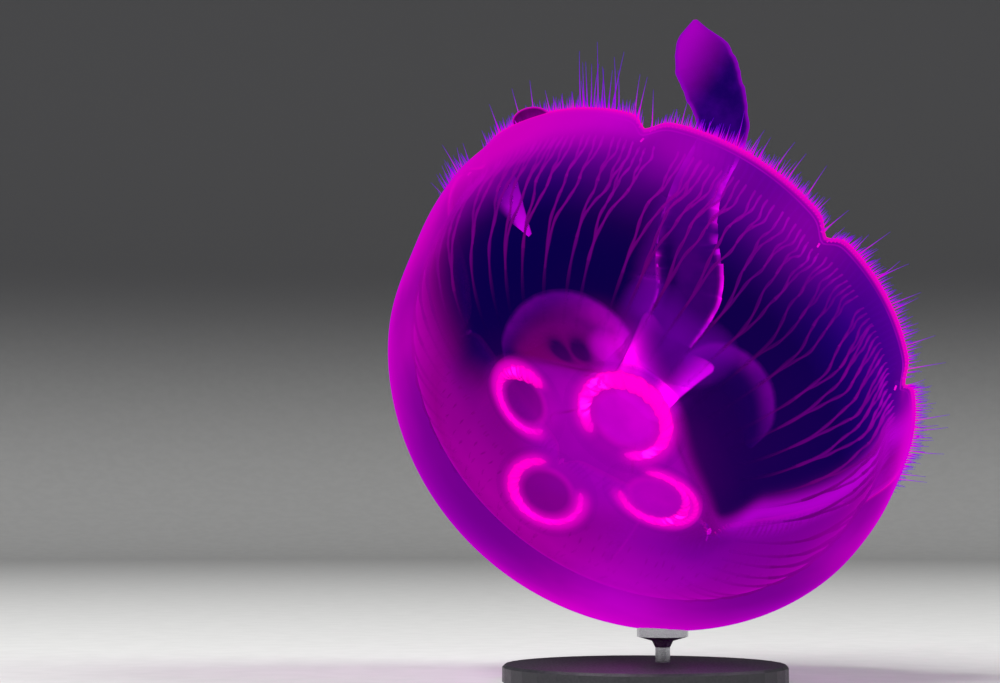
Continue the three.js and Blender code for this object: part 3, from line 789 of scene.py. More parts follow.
# degrees, half width and how much further out the dark sector ends and is full there
DARK_REACH_CHANGES = ((115, 32, 7, 18), (54, 34, -22, -16), (176, 26, -18, -18))
DARK_WIDER = (-13, 10)  # degrees by which both its sides lie further out close to the stomach
DARK_WIDER_REACH = (84, 61)
DARK_SPOTS = ((134.5, 58, 5, 9), (124.5, 60.5, 5, 9))  # azimuth, reach and half sizes
BRIGHT_BAND = (29, 4.5)  # degrees and half width of a bright stretch beside the dark sector
BRIGHT_BAND_REACH = (58, 80)
THIN_MARGINS = ((218, 26), (312, 12))  # degrees and half widths where the margin fades away
THIN_FROM = (34, 4)  # heights where that begins and where it is full
# distances from the axis, above a height, where the wall begins to look equally thick from every
# side and where it is so in full
CREST_REACH = (92, 68)
CREST_FROM_Z = 40
LIT_AZIMUTH = 99
VIOLET_AZIMUTH = 38

# spots of painted glow on the outer jelly, which is also less clear there: azimuth, height,
# radius in mm and strength
PAINTED_GLOW_SPOTS = (
    (146, 12, 24, 0.65), (158, 16, 24, 0.75), (132, 8, 20, 0.75), (112, 12, 24, 0.42),
    (88, 16, 24, 0.25), (156, 42, 18, 0.25), (122, 36, 22, 0.10), (175, 62, 20, 0.52),
    (181, 94, 18, 0.30), (20, 70, 18, 0.22), (120, 121, 12, 0.14),
    (176, 36, 34, 0.25), (200, 80, 46, 0.14),
    (95, 124, 32, 0.30), (60, 126, 24, 0.10), (330, 122, 34, 0.40), (290, 112, 30, 0.14),
    (306, 98, 24, 0.30), (20, 12, 30, 0.25), (350, 8, 26, 0.20), (35, 4, 20, 0.15),
)


# How much painted shade the wall has, by azimuth and distance from the axis.
def painted_shade_share(azimuth, reach):
    degrees = np.degrees(azimuth) % 360
    wider = smoothstep(reach, *DARK_WIDER_REACH)
    sector = smoothstep(degrees - DARK_WIDER[0] * wider, *DARK_FROM)
    sector = sector * smoothstep(degrees - DARK_WIDER[1] * wider, *DARK_TO)
    end, full = DARK_REACH
    for middle, half_width, more, much_more in DARK_REACH_CHANGES:
        here = near_angle(degrees, middle, half_width)
        end, full = end + more * here, full + much_more * here
    share = sector * smoothstep(reach, end, full)
    for middle, place, across, outward in DARK_SPOTS:
        gap = np.hypot((reach - place) / outward, np.radians(degrees - middle) * place / across)
        share = np.maximum(share, np.minimum(1, 1.7 * near(gap, 0, 1)))
    return share


def thin_share(azimuth, z):
    """1 where the far margin fades away, 0 where it is whole."""
    stretches = [near_angle(np.degrees(azimuth), *place) for place in THIN_MARGINS]
    return np.maximum(*stretches) * smoothstep(z, *THIN_FROM)


def violet_share(azimuth):
    """1 on the side of the bell that is more violet, 0 on the pinker one."""
    return smoothstep(np.cos(azimuth - math.radians(VIOLET_AZIMUTH)), -0.55, 0.55)


def band_share(azimuth, reach):
    """1 in the bright stretch beside the dark sector, 0 outside it."""
    middle = BRIGHT_BAND[0] + DARK_WIDER[0] * smoothstep(reach, *DARK_WIDER_REACH)
    across = near_angle(np.degrees(azimuth), middle, BRIGHT_BAND[1])
    return across * smoothstep(reach, *BRIGHT_BAND_REACH)


def lit_share(azimuth):
    """The side of the organs that lies behind the dark sector glows to show through it."""
    return smoothstep(np.cos(azimuth - math.radians(LIT_AZIMUTH)), 0.0, 0.4)


def painted_glow_share(points):
    """How strongly the outer jelly's painted glow spots show at these points."""
    total = np.zeros(len(points))
    for azimuth, z, radius, strength in PAINTED_GLOW_SPOTS:
        spot = bell_point(math.radians(azimuth), outer_radius(np.float64(z)), z)
        gap = np.linalg.norm(points - spot, axis=1)
        total += strength * near(gap, 0, radius)
    return np.clip(total, 0, 1)


# values at the skin's two poles, at the top of the bell and in the throat, where they aren't 0
POLE_VALUES = {"rise": (1, 0.3), "organ": (0, 1), "crest": (1, 1), "solid": (1, 0.1),
               "violet": (0.5, 0.5)}


def pole_faces(pole, first, columns, flip):
    """Triangles from a pole to a row of points."""
    for i in range(columns):
        after = (i + 1) % columns
        yield (pole, first + after, first + i) if flip else (pole, first + i, first + after)


class Skin:
    """The skin as rows of points round the bell, with the values of its looks."""

    def __init__(self):
        self.degrees = skin_azimuths()
        self.azimuth = np.radians(self.degrees)
        self.edge = edge_height(self.degrees)
        self.columns = len(self.degrees)
        self.rows, self.inside, self.values = [], [], {}

    def add_row(self, radius, z, near_edge=0, organ=0, inner=0, on_pillar=0, solid=1):
        points = bell_point(self.azimuth, radius, z)
        reach, height = np.hypot(points[:, 0], points[:, 1]), points[:, 2]
        self.rows.append(points)
        self.inside.append(inner)
        row_values = {
            "rise": height / BELL_HEIGHT,
            "edge": near_edge,
            "organ": organ,
            "painted_haze": painted_glow_share(points) * (1 - inner),
            "painted_shade": painted_shade_share(self.azimuth, reach) * (1 - organ),
            "crest": smoothstep(reach, *CREST_REACH) * (height > CREST_FROM_Z),
            "pillar": on_pillar,
            "solid": solid,
            "lit": lit_share(self.azimuth),
            "violet": violet_share(self.azimuth),
            "band": band_share(self.azimuth, reach) * (1 - organ),
            "thin": thin_share(self.azimuth, height),
        }
        for name, row in row_values.items():
            self.values.setdefault(name, []).append(np.broadcast_to(row, self.columns))

    def outside_radius(self, z):
        return outer_radius(z) - margin_pull(self.degrees, z) - flattening(self.azimuth, z)

    def lobe_steps(self):
        """Shares of the way down the lobes, with the heights there."""
        for step in range(1, LOBE_ROWS + 1):
            share = step / LOBE_ROWS
            yield share, LOBE_TOP_Z + (self.edge + BEAD - LOBE_TOP_Z) * share

    def add_outside(self):
        top = math.asin((LOBE_TOP_Z - BELL_WIDEST_Z) / (BELL_HEIGHT - BELL_WIDEST_Z))
        for step in range(OUTER_ROWS):
            angle = math.pi / 2 + (top - math.pi / 2) * (step / (OUTER_ROWS - 1))
            z = BELL_WIDEST_Z + (BELL_HEIGHT - BELL_WIDEST_Z) * math.sin(angle)
            self.add_row(np.maximum(self.outside_radius(z), POLE_RADIUS), z)
        for share, z in self.lobe_steps():
            self.add_row(self.outside_radius(z), z, smoothstep(share, *NEAR_EDGE))

    def add_rim(self):
        for step in range(1, RIM_ROWS + 1):
            angle = math.pi * step / (RIM_ROWS + 1)
            z = self.edge + BEAD * (1 - math.sin(angle))
            radius = outer_radius(z) - BEAD * (1 - math.cos(angle))
            self.add_row(radius - margin_pull(self.degrees, z), z, 1,
                         inner=int(step > RIM_ROWS / 2))

    def add_inside(self):
        for share, z in reversed(list(self.lobe_steps())):
            thicker = outer_radius(z) - inner_radius(z) - EDGE_THICKNESS
            thickness = EDGE_THICKNESS + thicker * smoothstep(1 - share, 0, 1)
            radius = outer_radius(z) - thickness - margin_pull(self.degrees, z)
            self.add_row(radius, z, smoothstep(share, *NEAR_EDGE), inner=1)
        for step in range(WALL_ROWS):
            share = math.sin(step / WALL_ROWS * math.pi / 2)
            z = LOBE_TOP_Z + (ORGAN_PROFILE[0][1] - LOBE_TOP_Z) * share
            self.add_row(inner_radius(z) - margin_pull(self.degrees, z), z, inner=1)

    def add_organs(self):
        """Rows over the stomach, down the mouth tube and up its throat."""
        profile = catmull_rom(ORGAN_PROFILE, ORGAN_ROWS)
        lip = np.argmin(profile[:, 1])
        on_pillar = np.cos(2 * (self.azimuth - math.radians(CORNER_AZIMUTH))) ** 8
        bright = sum(strength * near_angle(self.degrees, place, PILLAR_HALF_WIDTH)
                     for place, strength in PILLAR_LOOKS)
        for index, (radius, z) in enumerate(profile):
            on_stomach = smoothstep(radius, *STOMACH_INNER) * smoothstep(radius, *STOMACH_OUTER)
            lobing = 1 + STOMACH_LOBING * np.cos(4 * self.azimuth) * on_stomach
            on_tube = smoothstep(radius, *TUBE_OUTER) * smoothstep(radius, *TUBE_INNER)
            corners = 1 + (CORNER_SWELL + PILLAR_SWELL * on_pillar) * on_tube
            pillar_solid = bright if index < lip else THROAT_SOLID * bright
            tube_solid = np.maximum(BETWEEN_SOLID * smoothstep(z, *BETWEEN_FROM), pillar_solid)
            solid = 1 - smoothstep(z, *TUBE_CLEAR_FROM) * (1 - tube_solid)
            self.add_row(radius * lobing * corners, z, organ=smoothstep(radius, *ORGAN_FROM),
                         inner=1, on_pillar=bright * on_tube, solid=solid)

    def finish(self):
        columns, count = self.columns, len(self.rows) * self.columns
        faces = grid_faces(len(self.rows), columns)
        faces += pole_faces(count, 0, columns, flip=True)
        faces += pole_faces(count + 1, count - columns, columns, flip=False)
        faces = [tuple(reversed(face)) for face in faces]
        face_material = np.repeat(self.inside[:-1] + [0, 1], columns)
        poles = [[0, 0, BELL_HEIGHT], [0, 0, ORGAN_PROFILE[-1][1]]]
        values = {name: np.append(np.concatenate(value), POLE_VALUES.get(name, (0, 0)))
                  for name, value in self.values.items()}
        values["painted_haze"][count] = values["painted_haze"][0]
        return make_piece("body_skin", np.vstack(self.rows + [poles]), faces,
                          [outer_jelly(), lining()], values, face_material=face_material)


def skin():
    rows = Skin()
    rows.add_outside()
    rows.add_rim()
    rows.add_inside()
    rows.add_organs()
    lobes = [f"margin_lobe_{i + 1}" for i in range(len(NOTCH_AZIMUTHS))]
    settle(rows.finish(), "bell_tissue", "bell_dome", "stomach", "manubrium", *lobes)


# ---------------------------------------------------------------- jelly round the mouth

ORAL_JELLY_CENTRE = (-4, 5, 13)
ORAL_JELLY_RADIUS = 34
ORAL_JELLY_HALF_HEIGHT = 24
ORAL_JELLY_LOBING = 0.20
ORAL_JELLY_SIDES = 64
ORAL_JELLY_ROWS = 40
TO_PICTURE = TURN.T @ np.array([0.0, -1.0, 0.0])  # towards the side that the photo shows


def oral_jelly():
    """The thick clear jelly that joins the bases of the arms, bright towards the photo's side."""
    azimuth = np.arange(ORAL_JELLY_SIDES) / ORAL_JELLY_SIDES * TAU
    lobes = 1 + ORAL_JELLY_LOBING * np.cos(4 * (azimuth - math.radians(CORNER_AZIMUTH)))
    rows, normals = [], []
    for angle in np.linspace(0.02, math.pi - 0.02, ORAL_JELLY_ROWS):
        ring = np.stack([np.cos(azimuth), np.sin(azimuth), 0 * azimuth], axis=1)
        height = np.array([0, 0, math.cos(angle)])
        rows.append(ORAL_JELLY_CENTRE + ring * (ORAL_JELLY_RADIUS * math.sin(angle) * lobes)[:, None]
                    + height * ORAL_JELLY_HALF_HEIGHT)
        normals.append(ring * math.sin(angle) / ORAL_JELLY_RADIUS
                       + height / ORAL_JELLY_HALF_HEIGHT)
    faces = [tuple(reversed(face)) for face in capped_faces(len(rows), len(azimuth))]
    toward = unit(np.concatenate(normals)) @ TO_PICTURE
    piece = make_piece("oral_jelly", np.concatenate(rows), faces, [oral_tissue()],
                       {"lit": smoothstep(toward, -0.1, 0.3)})
    return settle(piece, "arm_tissue")


# ---------------------------------------------------------------- tubes

def tube(path, radii, sides):
    """Points and faces of a closed tube along a path, with a flat face at each end."""
    path = np.asarray(path, float)
    ahead = unit(np.gradient(path, axis=0))
    reference = np.array([0.31, 0.52, 0.79])
    across = unit(np.cross(ahead, reference))
    up = np.cross(across, ahead)
    turn = np.arange(sides) / sides * TAU
    circle = (across[:, None] * np.cos(turn)[None, :, None]
              + up[:, None] * np.sin(turn)[None, :, None])
    points = (path[:, None] + circle * np.asarray(radii)[:, None, None]).reshape(-1, 3)
    return points, capped_faces(len(path), sides)


def joined(tubes):
    """Many (points, faces, values) as one."""
    points, faces, values, shift = [], [], [], 0
    for some_points, some_faces, some_values in tubes:
        points.append(some_points)
        faces.extend(tuple(shift + i for i in face) for face in some_faces)
        values.append(some_values)
        shift += len(some_points)
    return np.vstack(points), faces, np.concatenate(values)


# ---------------------------------------------------------------- canals

CANAL_ROOTS = 54
CANAL_BRANCHINGS = (0.16, 0.46)
CANAL_RADIUS = 0.75
CANAL_INSET = 0.7  # how far a canal lies above the lining, in the jelly
CANAL_TOP_Z = 88
CANAL_END = 3.5  # how far above the margin's edge a canal ends
CANAL_STEPS = 90
CANAL_SIDES = 5
CANAL_WAVES = ((0.60, 1.3, 4), (0.24, 3.4, 9))  # degrees, waves along, waves round
CANAL_RIPPLE = (0.08, 6)  # degrees and waves along of each canal's own ripple
FAINT_CANALS = (76, 16)  # degrees and half width where they are faint, away from the margin
RING_CANAL_HEIGHT = 4.2  # above the margin's edge
RING_CANAL_INSET = 1.9
RING_CANAL_RADIUS = 0.5


def canal_point(azimuth, share):
    """A point in the jelly just over the lining, share 0 at the stomach and 1 at the margin."""
    bottom = edge_height(np.degrees(azimuth) % 360) + CANAL_END
    z = CANAL_TOP_Z + (bottom - CANAL_TOP_Z) * share ** 0.8
    radius = inner_radius(z) + CANAL_INSET - margin_pull(np.degrees(azimuth), z)
    return bell_point(azimuth, radius, z)


def canal_paths(generator):
    """Azimuths of every canal by step, branching outwards from a few roots."""
    share = np.linspace(0, 1, CANAL_STEPS)
    phases = generator.uniform(0, TAU, len(CANAL_WAVES))
    paths = []
    for root in range(CANAL_ROOTS):
        middle = (root + 0.5) * 360 / CANAL_ROOTS + generator.normal(0, 1.0)
        spread = 360 / CANAL_ROOTS
        branches = [(0.0, np.full(CANAL_STEPS, middle))]
        for level, place in enumerate(CANAL_BRANCHINGS):
            width = spread / 2 ** (level + 1)
            grown = []
            for start, line in branches:
                where = place + generator.normal(0, 0.05)
                for side in (-1, 1):
                    offset = side * width / 2 * (1 + generator.normal(0, 0.10))
                    eased = smoothstep(share, where, where + 0.35)
                    grown.append((start if side < 0 else where, line + offset * eased))
            branches = grown
        for start, line in branches:
            size, along = CANAL_RIPPLE
            wave = size * np.sin(TAU * along * share + generator.uniform(0, TAU))
            for (size, along, round_bell), phase in zip(CANAL_WAVES, phases):
                wave += size * np.sin(TAU * (along * share + round_bell * line / 360) + phase)
            paths.append((start, line + wave * smoothstep(share, 0.02, 0.3)))
    return share, paths


def canals():
    generator = np.random.default_rng(7)
    share, paths = canal_paths(generator)
    tubes = []
    for start, line in paths:
        keep = share >= start - 0.02
        here, azimuth = share[keep], np.radians(line[keep])
        radius = CANAL_RADIUS * (1.15 - 0.25 * here)
        radius *= 1 + 0.2 * np.sin(TAU * 9 * here + line[0])
        path = canal_point(azimuth, here)
        points, faces = tube(path, radius, CANAL_SIDES)
        plain = 1 - 0.70 * near_angle(line[keep], *FAINT_CANALS)
        solid = np.maximum(smoothstep(here, 0.60, 0.90), plain)
        solid *= 0.85 * (1 - thin_share(azimuth, path[:, 2]))
        tubes.append((points, faces, np.repeat(np.stack([here, solid], 1), CANAL_SIDES, axis=0)))
    degrees = np.arange(0, 360.5, 0.75)
    height = edge_height(degrees % 360) + RING_CANAL_HEIGHT
    reach = outer_radius(height) - RING_CANAL_INSET - margin_pull(degrees, height)
    path = bell_point(np.radians(degrees), reach, height)
    points, faces = tube(path, np.full(len(path), RING_CANAL_RADIUS), CANAL_SIDES)
    tubes.append((points, faces, np.tile((1.0, 0.7), (len(points), 1))))
    points, faces, columns = joined(tubes)
    piece = make_piece("radial_canals", points, faces, [canal_tissue()],
                       {"along": columns[:, 0], "solid": columns[:, 1]})
    return settle(piece, "bell_tissue")


# ---------------------------------------------------------------- gonads

GONAD_STEPS = 170
GONAD_SIDES = 24
GONAD_FLATNESS = 0.75
RUFFLES = ((0.8, 13, 2), (0.7, 23, 3), (0.5, 41, 5))  # sizes, waves along and waves round

# for each gonad, in degrees of its turn: its radius; where it is thickest, how far round and
# by how much; where and how far it is drawn in; its outer fold; and its painted highlights
GONAD_LOOKS = (
    (1.75, (205, 60, 0.50), (165, 0.20), (95, 215), (188, 212)),
    (2.15, (150, 105, 0.95), (0, 0.00), (165, 285), (64, 108, 290)),
    (1.6, (226, 50, 1.25), (215, 0.13), None, (212,)),
    (1.6, (238, 60, 0.85), (0, 0.00), None, ()),
)
DRAWN_HALF_WIDTH = 60
HIGHLIGHT_HALF_WIDTH = 13
GONAD_RUFFLE = 0.09
FOLD_RUFFLE = 0.10
FOLD_OFFSET = 1.6
FOLD_RADIUS = 1.5
POUCH_BRIGHTNESS = (0.60, 1.0, 0.05, 0.10)
# A pouch's haze is a painted glow round its gonad.
POUCH_REACH = 1.5  # how far a pouch's haze goes, as a share of the gonad's ring
POUCH_MIDDLE = 0.55  # how solid a pouch is inside the gonad's ring
POUCH_RINGS = 16
POUCH_SIDES = 72


def gonad_point(gonad, turn):
    azimuth, reach, height, tilt, half_width, half_length = gonad[:6]
    outward = np.array([math.cos(math.radians(azimuth)), math.sin(math.radians(azimuth)), 0])
    side = np.array([-outward[1], outward[0], 0])
    slope = outward * math.cos(math.radians(tilt)) - np.array(
        [0, 0, math.sin(math.radians(tilt))])
    turn = np.asarray(turn, float)[..., None]
    return (outward * reach + np.array([0, 0, height]) + side * half_width * np.sin(turn)
            - slope * half_length * np.cos(turn))


def gonad_centre(gonad):
    return (gonad_point(gonad, 0.0) + gonad_point(gonad, math.pi)) / 2


def ruffled_band(path, centre, radius, generator, ruffle_size):
    """A closed, flattened and ruffled tube along an arc round a centre."""
    steps = len(path)
    ahead = unit(np.gradient(path, axis=0))
    up = unit(np.cross(unit(path - centre), ahead))
    out = np.cross(ahead, up)
    share = np.linspace(0, 1, steps)
    angle = np.arange(GONAD_SIDES) / GONAD_SIDES * TAU
    ruffle = np.zeros((steps, GONAD_SIDES))
    for size, count, twist in RUFFLES:
        phase = generator.uniform(0, TAU)
        ruffle += size * np.sin(TAU * count * share[:, None] + twist * angle + phase)
    ends = np.sqrt(np.clip(np.minimum(share, 1 - share) * 30, 0, 1))
    tall = (radius * ends)[:, None] * (1 + ruffle_size * ruffle)
    points = (path[:, None] + out[:, None] * (tall * np.cos(angle))[..., None]
              + up[:, None] * (GONAD_FLATNESS * tall * np.sin(angle))[..., None])
    return points.reshape(-1, 3), capped_faces(steps, GONAD_SIDES)


def gonad(index, generator, material):
    shape = GONADS[index]
    radius, (thickest, spread, swell), (drawn_at, drawn_in), fold, highlight_turns = GONAD_LOOKS[index]
    opening, turned = math.radians(shape[6]), math.radians(shape[7])
    turn = turned + np.linspace(opening, TAU - opening, GONAD_STEPS)
    centre = gonad_centre(shape)
    around = np.degrees(turn)
    wide = near_angle(around, thickest, spread)
    nearer = 1 - drawn_in * near_angle(around, drawn_at, DRAWN_HALF_WIDTH)
    path = centre + (gonad_point(shape, turn) - centre) * nearer[:, None]
    points, faces = ruffled_band(path, centre, radius * (1 + swell * wide), generator,
                                 GONAD_RUFFLE)
    share = np.linspace(0, 1, GONAD_STEPS)
    ends = smoothstep(np.minimum(share, 1 - share), 0, 0.12)
    # where the painted highlights lie along the gonad
    shine = sum(near_angle(around, place, HIGHLIGHT_HALF_WIDTH) for place in highlight_turns)
    shine = shine + np.zeros(GONAD_STEPS)
    values = [(points, faces, np.stack([
        np.repeat(column, GONAD_SIDES) for column in (wide, shine, 0.45 + 0.75 * ends)], 1))]
    if fold:
        turn = np.radians(np.linspace(*fold, GONAD_STEPS // 2))
        path = gonad_point(shape, turn)
        along = np.linspace(0, 1, len(turn))
        path = path + unit(path - centre) * FOLD_OFFSET * np.sin(np.pi * along)[:, None] ** 0.5
        points, faces = ruffled_band(path, centre, np.full(len(turn), FOLD_RADIUS), generator,
                                     FOLD_RUFFLE)
        values.append((points, faces, np.tile((0.2, 0.0, 0.7), (len(points), 1))))
    points, faces, columns = joined(values)
    piece = make_piece(f"gonad_{index + 1}_frill", points, faces, [material],
                       dict(zip(("thick", "shine", "solid"), columns.T)))
    return settle(piece, "gonad_tissue", f"gonad_{index + 1}")


def pouch(index, material):
    """A thin closed lens round a gonad, with a painted glow along its ring."""
    shape = GONADS[index]
    centre = gonad_centre(shape)
    turn = np.arange(POUCH_SIDES) / POUCH_SIDES * TAU
    rim = gonad_point(shape, turn) - centre
    normal = unit(np.cross(rim[0], rim[POUCH_SIDES // 4]))
    opening = np.abs(angle_gap(np.degrees(turn), shape[7]))
    on_ring = smoothstep(opening, shape[6] - 12, shape[6] + 22)
    rows, middle, solid = [], [], []
    for sheet in (1, -1):
        shares = np.linspace(0, 1, POUCH_RINGS) if sheet > 0 else np.linspace(1, 0, POUCH_RINGS)
        for share in shares[1:] if sheet > 0 else shares[1:-1]:
            place = share * POUCH_REACH
            thickness = 0.5 * (1 - share ** 2) + 0.02
            rows.append(centre + rim * place + normal * sheet * thickness)
            painted_haze = 0.58 * near(place, 1, 0.27) * (0.06 + 0.94 * on_ring)
            inside = 1 - smoothstep(place, 0.60, 0.92)
            middle.append(np.full(POUCH_SIDES, inside))
            solid.append(np.maximum(POUCH_MIDDLE * inside, painted_haze)
                         * (1 - smoothstep(share, 0.75, 1)))
    count, last = len(rows) * POUCH_SIDES, (len(rows) - 1) * POUCH_SIDES
    faces = grid_faces(len(rows), POUCH_SIDES)
    faces += pole_faces(count, 0, POUCH_SIDES, flip=True)
    faces += pole_faces(count + 1, last, POUCH_SIDES, flip=False)
    points = np.vstack(rows + [centre + normal * 0.5, centre - normal * 0.5])
    values = {
        "middle": np.append(np.concatenate(middle), [1, 1]),
        "solid": np.append(np.concatenate(solid), [POUCH_MIDDLE, POUCH_MIDDLE]),
        "bright": np.full(len(points), POUCH_BRIGHTNESS[index]),
    }
    piece = make_piece(f"stomach_pouch_{index + 1}", points, faces, [material], values)
    return settle(piece, "stomach_tissue")


def gonads():
    generator = np.random.default_rng(11)
    frill, membrane = gonad_tissue(), pouch_tissue()
    for index in range(len(GONADS)):
        gonad(index, generator, frill)
        pouch(index, membrane)


# ---------------------------------------------------------------- arms

ARM_STEPS = 220
ARM_ACROSS = 28
ARM_THICKNESS = 1.6
ARM_EDGE_THICKNESS = 0.55
USUAL_ARM_WIDTH = 24  # the width at which frill and curl have the sizes given
ARM_WAVES = ((1.0, 13.0), (0.6, 7.0), (0.3, 3.7))  # shares of the frill and wavelengths in mm


def ribbon(facing, route, generator, frill, steps=ARM_STEPS, curl=0.0):
    """A closed ribbon with frilled edges.

    Besides its points and faces it gives, for each point, the share of the length, the place
    from -1 to 1 across, and 1 on the ridge side or 0 on the other.
    """
    line = catmull_rom(route, steps)
    centre, width = line[:, :3], np.maximum(line[:, 3], 0.6)
    ahead = unit(np.gradient(centre, axis=0))
    across = unit(np.cross(ahead, np.array(facing, float)))
    normal = unit(np.cross(across, ahead))
    length = np.concatenate([[0], np.cumsum(np.linalg.norm(np.diff(centre, axis=0), axis=1))])
    side = np.linspace(-1, 1, ARM_ACROSS)
    nearness = np.abs(side)
    wave = np.zeros((steps, ARM_ACROSS))
    for size, wavelength in ARM_WAVES:
        phases = generator.uniform(0, TAU, 2)
        for sign, phase in zip((-1, 1), phases):
            on_side = np.clip(sign * side, 0, 1) ** 2.2
            wave += size * np.sin(TAU * length / wavelength + phase)[:, None] * on_side
    ends = smoothstep(length, 0, 10) * smoothstep(length[-1] - length, 0, 14)
    lift = (frill * wave + curl * nearness ** 2) * (ends * width / USUAL_ARM_WIDTH)[:, None]
    thick = ARM_EDGE_THICKNESS + (ARM_THICKNESS - ARM_EDGE_THICKNESS) * (1 - nearness ** 2)
    thick = np.minimum(thick[None, :], 0.4 + 0.3 * width[:, None])
    middle = centre[:, None] + across[:, None] * (side * (width / 2)[:, None])[..., None]
    upper = middle + normal[:, None] * (lift + thick / 2)[..., None]
    lower = middle + normal[:, None] * (lift - thick / 2)[..., None]
    loop = np.concatenate([upper, lower[:, ::-1]], axis=1)
    columns = 2 * ARM_ACROSS
    along = np.repeat(length / length[-1], columns)
    sides = np.tile(np.concatenate([side, side[::-1]]), steps)
    ridge_side = np.tile(np.repeat([1.0, 0.0], ARM_ACROSS), steps)
    return loop.reshape(-1, 3), capped_faces(steps, columns), along, sides, ridge_side


ARM_NODES = {
    "arm_1": ("arm_1_base", "arm_1_middle", "arm_1_flap"),
    "arm_2": ("arm_2_base", "arm_2_tip"),
    "arm_3": ("arm_3_base", "arm_3_tip"),
    "arm_4": ("arm_4_base", "arm_4_tip"),
}
# frill and curl in mm, which edge is the outer one, glow of the ridge and of its edging, how
# much edging the other edge has, how solid that side is, how soft the outer edge is, and how
# solid the arm is as a whole
ARM_LOOKS = {
    "arm_1": (1.6, 1.0, 1, 0.22, 1.00, 0.5, 1.0, 0.0, 1.0),
    "arm_2": (0.6, 2.0, -1, 1.00, 0.00, 0.0, 0.1, 0.8, 1.0),
    "arm_3": (1.2, 1.0, -1, 0.00, 0.00, 0.3, 0.1, 0.6, 0.3),
    "arm_4": (0.6, 2.0, 1, 1.00, 0.00, 0.0, 0.1, 0.8, 1.0),
}
FLAP_START = 0.59  # share of the first arm's length where it leaves the bell
FLAP_CHANGE = 0.08  # how much more of the length it takes to look so
FLAP_TIP = 0.78

# the edging's start and full strength as shares of the half width, and on the first arm how
# much wider it is at one place, and how much narrower before another and on the flap
TRIM_FROM = 0.66
TRIM_FULL = 0.98
WIDE_TRIM = 0.30
WIDE_TRIM_PLACE = (0.48, 0.06)
NARROW_TRIM = 0.16
NARROW_TRIM_BEFORE = (0.32, 0.24)

# bright stretches of the first arm's outer edge: middle and half length as shares of its
# length, and strength
EDGE_LIGHTS = (
    (0.06, 0.06, 0.85), (0.16, 0.04, 0.60), (0.22, 0.03, 0.35), (0.268, 0.010, 1.6),
    (0.335, 0.012, 0.6), (0.40, 0.02, 0.4), (0.46, 0.03, 1.7), (0.52, 0.03, 1.7),
    (0.58, 0.03, 0.9),
)
# a dark furrow along the first arm, beside its inner edge
FURROW_SIDE = -0.60
FURROW_WIDTH = 0.24
FURROW_DEPTH = 0.85
FURROW_LIMITS = (0.03, 0.10, 0.28, 0.37)

# a soft second blade beside the first arm's inner edge, as shares of the arm's length
BLADE_END = 0.46
BLADE_WIDTHS = ((0.0, 20), (0.2, 17), (0.35, 13), (0.46, 5))


def edge_lights(along):
    return sum(strength * near(along, middle, half_length)
               for middle, half_length, strength in EDGE_LIGHTS)


def furrow(along, side):
    start, full, last, end = FURROW_LIMITS
    length = smoothstep(along, start, full) * smoothstep(along, end, last)
    return length * near(side, FURROW_SIDE, FURROW_WIDTH)


def arm_values(name, along, side, ridge):
    """The values of an arm's looks; side is 1 at its outer edge and -1 at the other."""
    glow, edging, other_edging, other_solid, soft, whole = ARM_LOOKS[name][3:]
    first = name == "arm_1"
    flap = smoothstep(along, FLAP_START, FLAP_START + FLAP_CHANGE) * first
    wide = WIDE_TRIM * near(along, *WIDE_TRIM_PLACE) * first
    narrow = NARROW_TRIM * (smoothstep(along, *NARROW_TRIM_BEFORE) * first + flap)
    trim = smoothstep(np.abs(side), TRIM_FROM - wide + narrow, TRIM_FULL)
    fade = other_solid + (1 - other_solid) * smoothstep(side, -1.0, 0.8)
    fade *= 1 - soft * smoothstep(side, 0.80, 1.0)
    fade *= whole * (1 - FURROW_DEPTH * furrow(along, side) * first)
    lit_part = 1.0
    if soft and glow:
        lit_part = smoothstep(side, -0.2, 0.8) * smoothstep(1 - along, 0, 0.3)
        lit_part = np.maximum(lit_part, smoothstep(along, 0.30, 0.05))
    lights = edge_lights(along) if first else 1.0
    return {
        "trim": trim * np.where(side > 0, 1.0, other_edging * (1 - flap) + flap),
        "lit": ridge * glow * lit_part,
        "lit_trim": ridge * edging * lights * np.where(side > 0, 1.0, other_edging),
        "flap": flap,
        "tip": flap * smoothstep(along - 0.06 * side, FLAP_TIP, 1),
        "fade": fade,
    }


def arms():
    generator = np.random.default_rng(23)
    material = arm_tissue()
    for name, (facing, route) in ARMS.items():
        frill, curl, outer = ARM_LOOKS[name][:3]
        points, faces, along, side, ridge = ribbon(facing, route, generator, frill, curl=curl)
        piece = make_piece(f"{name}_ribbon", points, faces, [material],
                           arm_values(name, along, outer * side, ridge))
        settle(piece, "arm_tissue", *ARM_NODES[name])
    arm_blade(generator, material)


